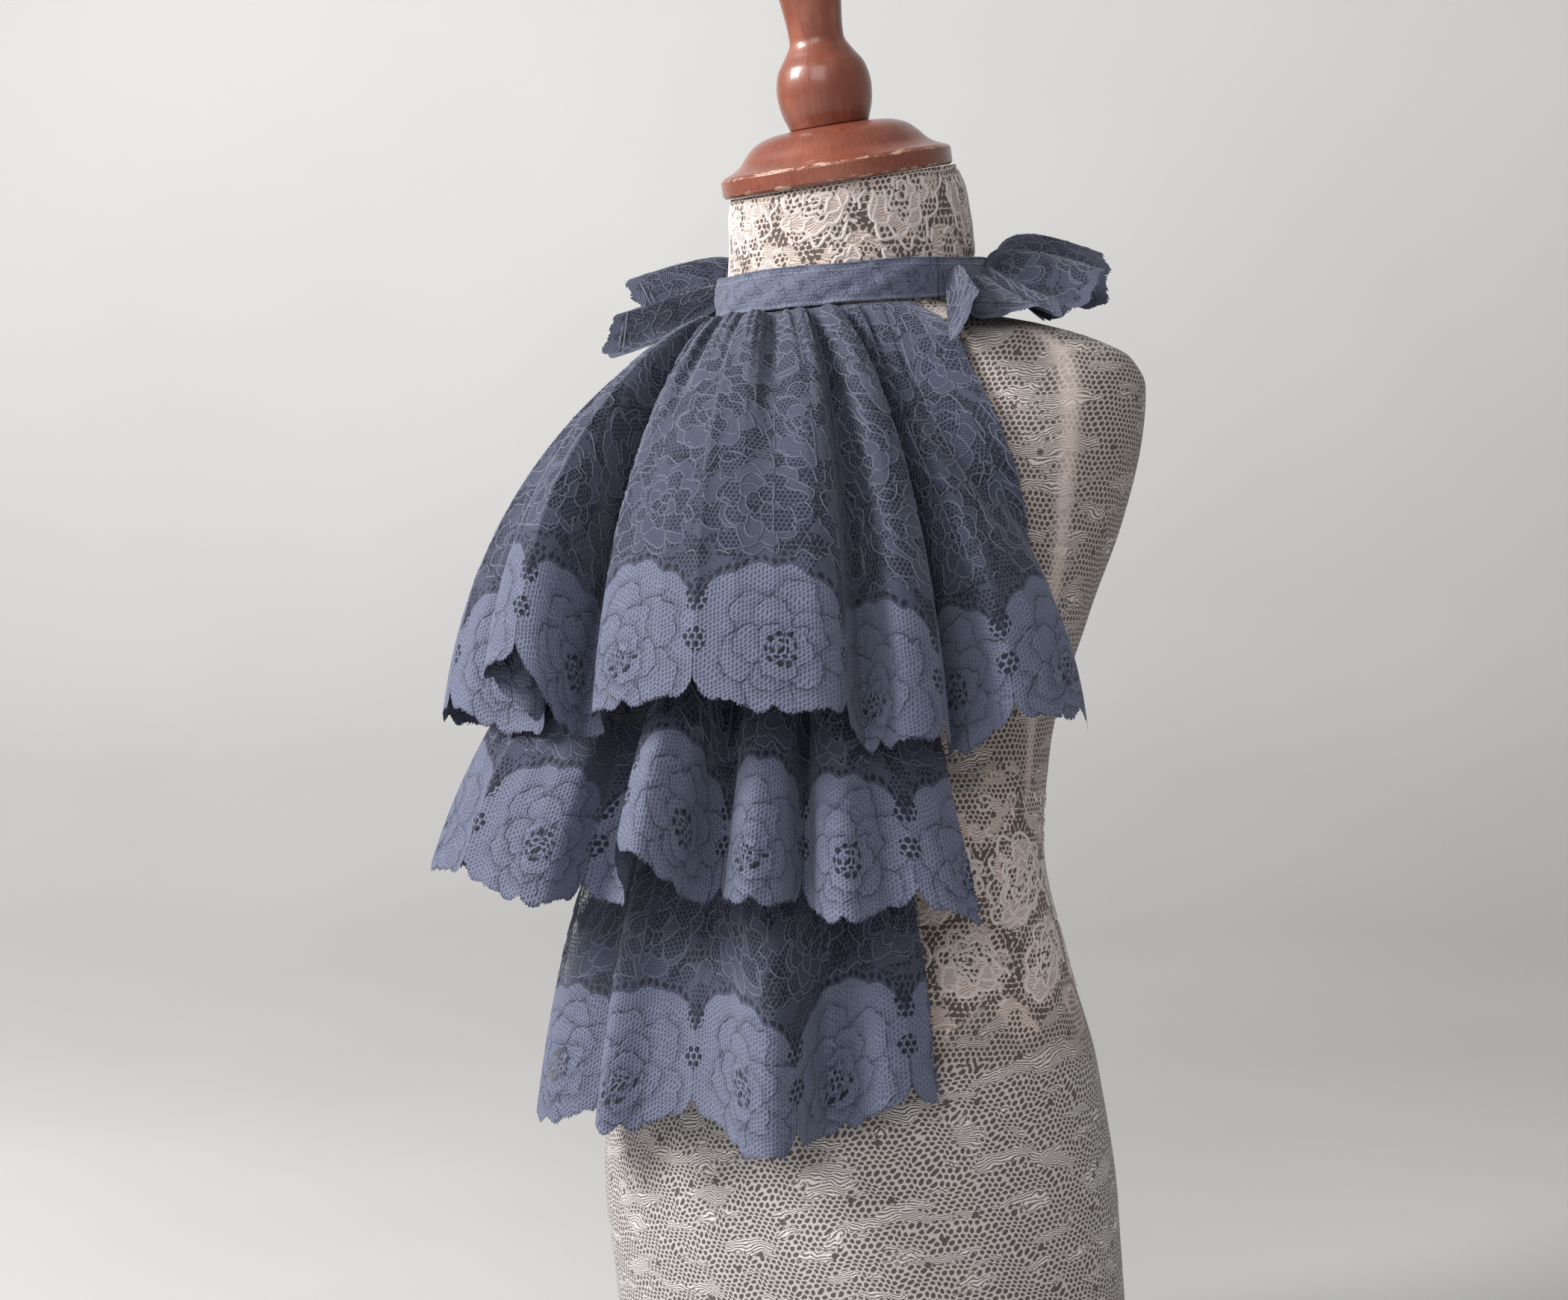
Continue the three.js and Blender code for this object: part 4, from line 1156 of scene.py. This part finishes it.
def build_band(name, from_angle, to_angle, columns, lapped=False):
    """A length of the band. A lapped one steps out over the other's end."""
    angle = np.linspace(from_angle, to_angle, columns)
    reach = BAND_RADIUS + lapped * 2.1 * smoothstep(angle, 162, 170)
    arc = np.radians(angle) * BAND_RADIUS
    profile = band_profile()
    lines = []
    for share, offset in profile:
        crease = 0.6 * np.sin(arc * 0.23 + 9 * share) * np.sin(arc * 0.061 + 3 * share)
        crease = crease + 0.22 * np.sin(arc * 0.62 - 6 * share) * np.sin(arc * 0.09)
        wobble = 0.3 * np.sin(arc * 0.11 + 1.0) * (1 if share < 0.5 else -0.5)
        out = reach + 0.6 * share + offset + crease * (offset > 0)
        lines.append(polar(angle, out, band_top(angle) - BAND_HEIGHT * share + wobble))
    grid = np.array(lines)
    around = lengths_along(profile * (BAND_HEIGHT, 1), 0) - BAND_HEIGHT / 2
    flat = np.stack(np.broadcast_arrays(arc, around[:, None]), -1)
    mesh = mesh_from(name, grid, {"flat": flat})
    piece = link(name + "_lace", mesh, BAND_LACE)
    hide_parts(name)


FRONT_END = 75
BACK_START = FRONT_END + math.degrees(1.4 * SEAM_GAP / BAND_RADIUS)
build_band("neckband_front", -FRONT_END, FRONT_END, 200)
build_band("neckband_back_right", -186, -BACK_START, 150)
build_band("neckband_back_left", BACK_START, 185.4, 150, lapped=True)

# %% [markdown]
# ## The dress form
#
# The form is a firm dark body covered tightly in cream lace. The cover doesn't hang free,
# so its holes show the body's colour and stay in the paint, not in Alpha. The neck and the
# waist carry flowers outlined with raised cords. The shoulders and hips are plainer net.

# %% Cream lace finish
FORM_FLOWER_SIZE = 0.62


def cream_lace():
    finish = Finish("cream_lace")
    flat = finish.uv("flat")
    u, v, _ = finish.split(flat)
    hips = finish.field("hips")
    seam = finish.field("seam")
    flowers = finish.field("flowers")
    wander = finish.noise(flat, 0.07, 2.0) - 0.5
    jitter = finish.noise(flat, 0.8, 1.0) - 0.5
    slant_u = u + v * 0.15 + wander * 9
    slant_v = v - u * 0.12 + wander * 9

    # Plain parts: ragged streaks of close threads, in a net of ovals.
    streak = {0: (slant_u + jitter * 6) * 0.3, 1: slant_v + jitter * 4}
    streak = finish.noise(finish.node("ShaderNodeCombineXYZ", {}, streak), 0.11, 2.5)
    patch = (streak + jitter * 0.08 + (1 - hips) * 0.03).step(0.550, 0.575) * (1 - flowers)
    spot = finish.cells(flat, 0.04, 1.0).below(0.045, 0.06)

    # Neck and waist: the same flowers as the blue lace, smaller and closer.
    outside = finish.noise(flat, 0.12, 1.0).step(0.3, 0.7)
    pick, out = flower_fill(u / FORM_FLOWER_SIZE, v / FORM_FLOWER_SIZE, outside)
    solid = ((pick + jitter * 0.2).step(0.62, 0.72) * flowers).largest(patch)
    even = hex_distance(u + wander * 5, v + wander * 4, 2.6)
    pulled = hex_distance(slant_u / 1.15, slant_v / 0.88, 2.7)
    net = even * (1 - hips) + pulled * hips
    net_hole = (net + jitter * 0.3).below(0.80, 1.02) * (1 - solid)
    sparse = out.step(28, 29).largest(out.below(5.5, 6.0)) * flowers
    large = hex_distance(u + wander * 6, v + wander * 6, 3.2)
    large_hole = (large + jitter * 0.5).below(1.0, 1.3) * sparse
    hatch = stripes(slant_v / 1.15 + wander * 4)
    slit = hatch.below(0.08, 0.30) * solid * (jitter * 3 + 0.9).step(0.1, 0.8)
    slit = slit * (0.95 - flowers * 0.45)
    opening = net_hole.largest(large_hole).largest(spot).largest(slit) * (1 - seam)

    cream = finish.mix(finish.noise(flat, 0.02, 3.0), (0.55, 0.48, 0.45), (0.67, 0.60, 0.565))
    cream = finish.mix(hips * 0.9, cream, (0.71, 0.67, 0.655))
    cream = finish.mix((flowers * 0.85).largest(seam * 0.8), cream, (0.70, 0.57, 0.51))
    body = finish.mix(finish.noise(flat, 0.05, 2.0), (0.040, 0.030, 0.027), (0.080, 0.060, 0.053))
    thin = (1 - solid) * (1 - seam) * (0.30 - flowers * 0.16)
    colour = finish.mix(opening * 0.92, finish.mix(thin, cream, body), body)
    height = (1 - opening) + solid * 0.5 + hatch * solid * 0.5 + seam * 0.8
    return finish.surface({
        "Base Color": colour,
        "Roughness": 0.8,
        "Specular IOR Level": 0.25,
        "Sheen Weight": 0.15,
        "Normal": finish.bump(height, 0.0005, 0.8),
    })


CREAM_LACE = cream_lace()
CREAM_CORD = cord_finish("cream_cord", (0.74, 0.64, 0.60), (0.97, 0.90, 0.86))


# %% Form cover
FORM_COLUMNS = 340
FORM_ROWS = 250
NECK_FLOWERS = 490
WAIST_FLOWERS = (196, 300)
SIDE_RADIUS = 120


def form_grid():
    height = np.linspace(FORM_HEIGHT[-1], 0, FORM_ROWS)
    half_width, half_depth, centre_y, tilt = np.array(form_section(height))[..., None]
    turn = np.linspace(-math.pi, math.pi, FORM_COLUMNS)
    depth = -half_depth * np.cos(turn)
    grid = [half_width * np.sin(turn), centre_y + depth, height[:, None] + tilt * depth]
    return np.stack(grid, -1), height


def form_fields(grid, flat, high):
    """Where the flowers, the plain hips and the side seams are."""
    low, top = WAIST_FLOWERS
    waist_edge = high + 7 * np.sin(flat[..., 0] * 2 * math.pi / 40)
    at_waist = smoothstep(waist_edge, low, low + 3) * (1 - smoothstep(waist_edge, top - 4, top))
    flowers = np.maximum(smoothstep(high, NECK_FLOWERS, NECK_FLOWERS + 6), at_waist)
    hips = 1 - smoothstep(high, 176, 190)
    angle = abs(np.degrees(np.arctan2(grid[..., 0], -grid[..., 1])))
    seam_angle = 76 + 10 * smoothstep(high, 440, 300)
    seam = smoothstep(5.5 - np.radians(abs(angle - seam_angle)) * SIDE_RADIUS, 0, 4.5)
    seam = 0.7 * seam * smoothstep(high, 280, 300) * (1 - smoothstep(high, 480, 490))
    return {"flowers": flowers, "hips": hips, "seam": seam}


def with_ends(values):
    """Values of the form's grid, repeated for its crown and its base."""
    return np.concatenate([values[:1], values, values[-1:], values[-1:]])


def build_form():
    grid, height = form_grid()
    across = lengths_along(grid, 1)
    middle = slice(FORM_COLUMNS // 2, FORM_COLUMNS // 2 + 1)
    u = across - across[:, middle]
    flat = np.stack([u, from_hem(grid)[:, middle] + 0 * u], -1)
    fields = form_fields(grid, flat, height[:, None] + 0 * u)
    crown = grid[:1].mean(axis=1, keepdims=True) + 0 * grid[:1]
    whole = np.concatenate([crown, grid, grid[-1:] * 0.5, grid[-1:] * 0.0])
    fields = {name: with_ends(values) for name, values in fields.items()}
    mesh = mesh_from("form", whole, {"flat": with_ends(flat)}, fields)
    piece = link("form_cover", mesh, CREAM_LACE)
    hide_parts("form_torso")
    return grid, flat, height


def form_cords(grid, flat, height):
    """Cords round the flowers that lie whole on the neck or on the waist."""
    low, top = WAIST_FLOWERS
    cloth = FoldedCloth(grid, flat, [*range(0, FORM_COLUMNS - 1, 30), FORM_COLUMNS - 1], 2.0)
    by_height = {round(float(place)): float(high) for place, high in zip(flat[:, 0, 1], height)}
    places = sorted(by_height)
    highs = [by_height[place] for place in places]
    curves = []
    for curve in flower_outlines(flat, FORM_FLOWER_SIZE):
        curve = curve[::2]
        high = np.interp(curve[:, 1], places, highs)
        if high.min() > NECK_FLOWERS + 4 or (high.min() > low + 8 and high.max() < top - 8):
            curves.extend(cloth.place(curve))
    ribbons("form_cords", curves, CREAM_CORD, 1.7, 0.6)


form_cords(*build_form())

# %% [markdown]
# ## The turned wood
#
# A cap closes the neck and carries a turned finial. Both are turned on a lathe, so each is
# one outline swept round an axis that leans forward with the neck. The red-brown varnish is
# satin, and it has worn pale along the cap's rim.


# %% Wood finish
def red_wood():
    finish = Finish("red_wood")
    flat = finish.uv("flat")
    stretched = finish.node("ShaderNodeMapping", {}, {"Vector": flat, "Scale": (1.0, 0.09, 1.0)})
    grain = finish.noise(stretched, 0.55, 6.0, 0.62)
    streak = finish.noise(stretched, 1.9, 3.0, 0.6)
    cloud = finish.noise(flat, 0.035, 3.0)
    scratch = finish.noise(flat, 0.16, 6.0, 0.7)
    colour = finish.mix(grain, (0.135, 0.029, 0.014), (0.295, 0.078, 0.041))
    colour = finish.mix(streak.step(0.50, 0.70) * 0.6, colour, (0.080, 0.018, 0.010))
    colour = finish.mix(cloud.step(0.45, 0.7) * 0.45, colour, (0.41, 0.14, 0.08))
    pale = (finish.field("worn") + (scratch - 0.5) * 3.6).step(0.95, 1.15)
    colour = finish.mix(pale * 0.75, colour, (0.62, 0.42, 0.30))
    height = grain * 0.5 + streak * 0.4 - pale * 0.6
    return finish.surface({
        "Base Color": colour,
        "Roughness": 0.30 + grain * 0.16 + pale * 0.3,
        "Coat Weight": 0.5,
        "Coat Roughness": 0.16,
        "Normal": finish.bump(height, 0.0004, 0.45),
    })


RED_WOOD = red_wood()

# %% Turned outlines: radius and height
CAP_OUTLINE = [
    (0, 0), (49.8, 0), (51, 1.2), (51, 7.6), (49.6, 8.8), (45.5, 10.4), (42, 12.6), (38, 17),
    (34, 20.5), (28, 23), (18, 24.2), (0, 24.2),
]
FINIAL_OUTLINE = [
    (0, 0), (17.4, 0), (20, 8), (20.8, 17), (19, 25), (15, 31), (12.2, 36), (12, 41), (13.8, 57),
    (16.6, 76), (17.4, 87), (15.4, 96), (9.5, 102.5), (0, 105),
]
CAP_LEAN = math.atan(0.25)
CAP_FOOT = (-20, 555.6)
WOOD_UNROLLED = 30


def turned(name, node, outline, sharp, lift, worn_at):
    """A turned piece. Corners named in sharp stay crisp and the others are rounded."""
    corners = np.array([(radius, 0, height) for radius, height in outline], dtype=float)
    profile = []
    for start, end in zip(sharp[:-1], sharp[1:]):
        points = corners[start:end + 1]
        line = curve_through(points, 14) if len(points) > 2 else evenly(points, 12)[0]
        profile.extend(line[:-1])
    profile = np.array([*profile, corners[-1]])[::-1]
    turn = np.linspace(0, 2 * math.pi, 97)
    radius = profile[:, :1]
    height = profile[:, 2:] + 0 * turn
    y = radius * np.sin(turn)
    z = height + lift
    lean_y = CAP_FOOT[0] + y * math.cos(CAP_LEAN) - z * math.sin(CAP_LEAN)
    lean_z = CAP_FOOT[1] + y * math.sin(CAP_LEAN) + z * math.cos(CAP_LEAN)
    grid = np.stack([radius * np.cos(turn), lean_y, lean_z], -1)
    along = lengths_along(profile, 0)[:, None]
    flat = np.stack(np.broadcast_arrays(turn * WOOD_UNROLLED, along), -1)
    worn = 0 * height
    for worn_height, width in worn_at:
        near = np.exp(-(((height - worn_height) / width) ** 2))
        worn = np.maximum(worn, near * (radius > 12))
    mesh = mesh_from(name, grid, {"flat": flat}, {"worn": worn})
    piece = link(name, mesh, RED_WOOD)
    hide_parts(node)


CAP_WORN = [(0.8, 1.8), (8.0, 1.6)]
FINIAL_LIFT = CAP_OUTLINE[-1][1] + 2 * SEAM_GAP
turned("neck_cap_wood", "neck_cap", CAP_OUTLINE, [0, 1, 2, 3, 4, 11], SEAM_GAP, CAP_WORN)
turned("finial_wood", "finial", FINIAL_OUTLINE, [0, 1, 13], FINIAL_LIFT, [])

# %% [markdown]
# ## Light, floor and backdrop
#
# Soft studio light comes from an area lamp on the left, with a wider, weaker one in front
# and to the right, and a pale world. The floor runs up into the backdrop in one curve, so
# no edge shows. Its paint grows darker towards the floor, as painted shade.

# %% Floor and backdrop: how far back, and how high
BACKDROP = [(-3, 0), (1, 0), (1.45, 0.05), (1.75, 0.2), (1.88, 0.42), (1.9, 0.7), (1.9, 3.5)]
HALF_BACKDROP = 4


def build_stage():
    finish = Finish("pale_plaster")
    place = finish.node("ShaderNodeTexCoord", {}, {}, "Object")
    height = finish.split(place)[2]
    # A little noise mottle, and painted shade: the paint darkens from 1.3 m down to the floor.
    share = finish.noise(place, 3.0, 3.0) * 0.15 + height.step(-0.5, 1.3) * 0.85
    colour = finish.mix(share, (0.45, 0.45, 0.45), (0.86, 0.855, 0.845))
    material = finish.surface({"Base Color": colour, "Roughness": 0.9, "Specular IOR Level": 0.1})
    back = np.array([-math.sin(VIEW_TURN), math.cos(VIEW_TURN), 0])
    right = np.array([math.cos(VIEW_TURN), math.sin(VIEW_TURN), 0])
    up = np.array([0, 0, 1])
    sides = (-HALF_BACKDROP, HALF_BACKDROP)
    rows = [[side * right + away * back + high * up for side in sides] for away, high in BACKDROP]
    mesh = mesh_from("backdrop", np.array(rows) * 1000)
    mesh.materials.append(material)
    mesh.shade_smooth()
    backdrop = bpy.data.objects.new("backdrop", mesh)
    bpy.context.scene.collection.objects.link(backdrop)


build_stage()


# %% Lamps
def area_lamp(name, place, aim, power, size, colour):
    lamp_data = bpy.data.lights.new(name, "AREA")
    lamp_data.energy = power
    lamp_data.size = size
    lamp_data.color = colour
    lamp = bpy.data.objects.new(name, lamp_data)
    lamp.location = place
    x, y, z = np.array(aim) - np.array(place)
    lamp.rotation_euler = (math.atan2(math.hypot(x, y), -z), 0, math.atan2(-x, y))
    bpy.context.scene.collection.objects.link(lamp)
    print(name, "lamp of", power, "W")


area_lamp("window", (-1.0, -1.4, 1.4), (0, 0, 0.33), 58, 0.8, (1.0, 0.99, 0.97))
area_lamp("fill", (1.2, -2.4, 1.7), (0.5, 1.0, 0.6), 31, 1.6, (1.0, 0.99, 0.98))
world = bpy.data.worlds.new("room")
world.use_nodes = True
sky = world.node_tree.nodes["Background"].inputs
sky["Color"].default_value = (0.92, 0.92, 0.93, 1)
sky["Strength"].default_value = 0.35
bpy.context.scene.world = world
bpy.context.scene.view_settings.view_transform = "Standard"
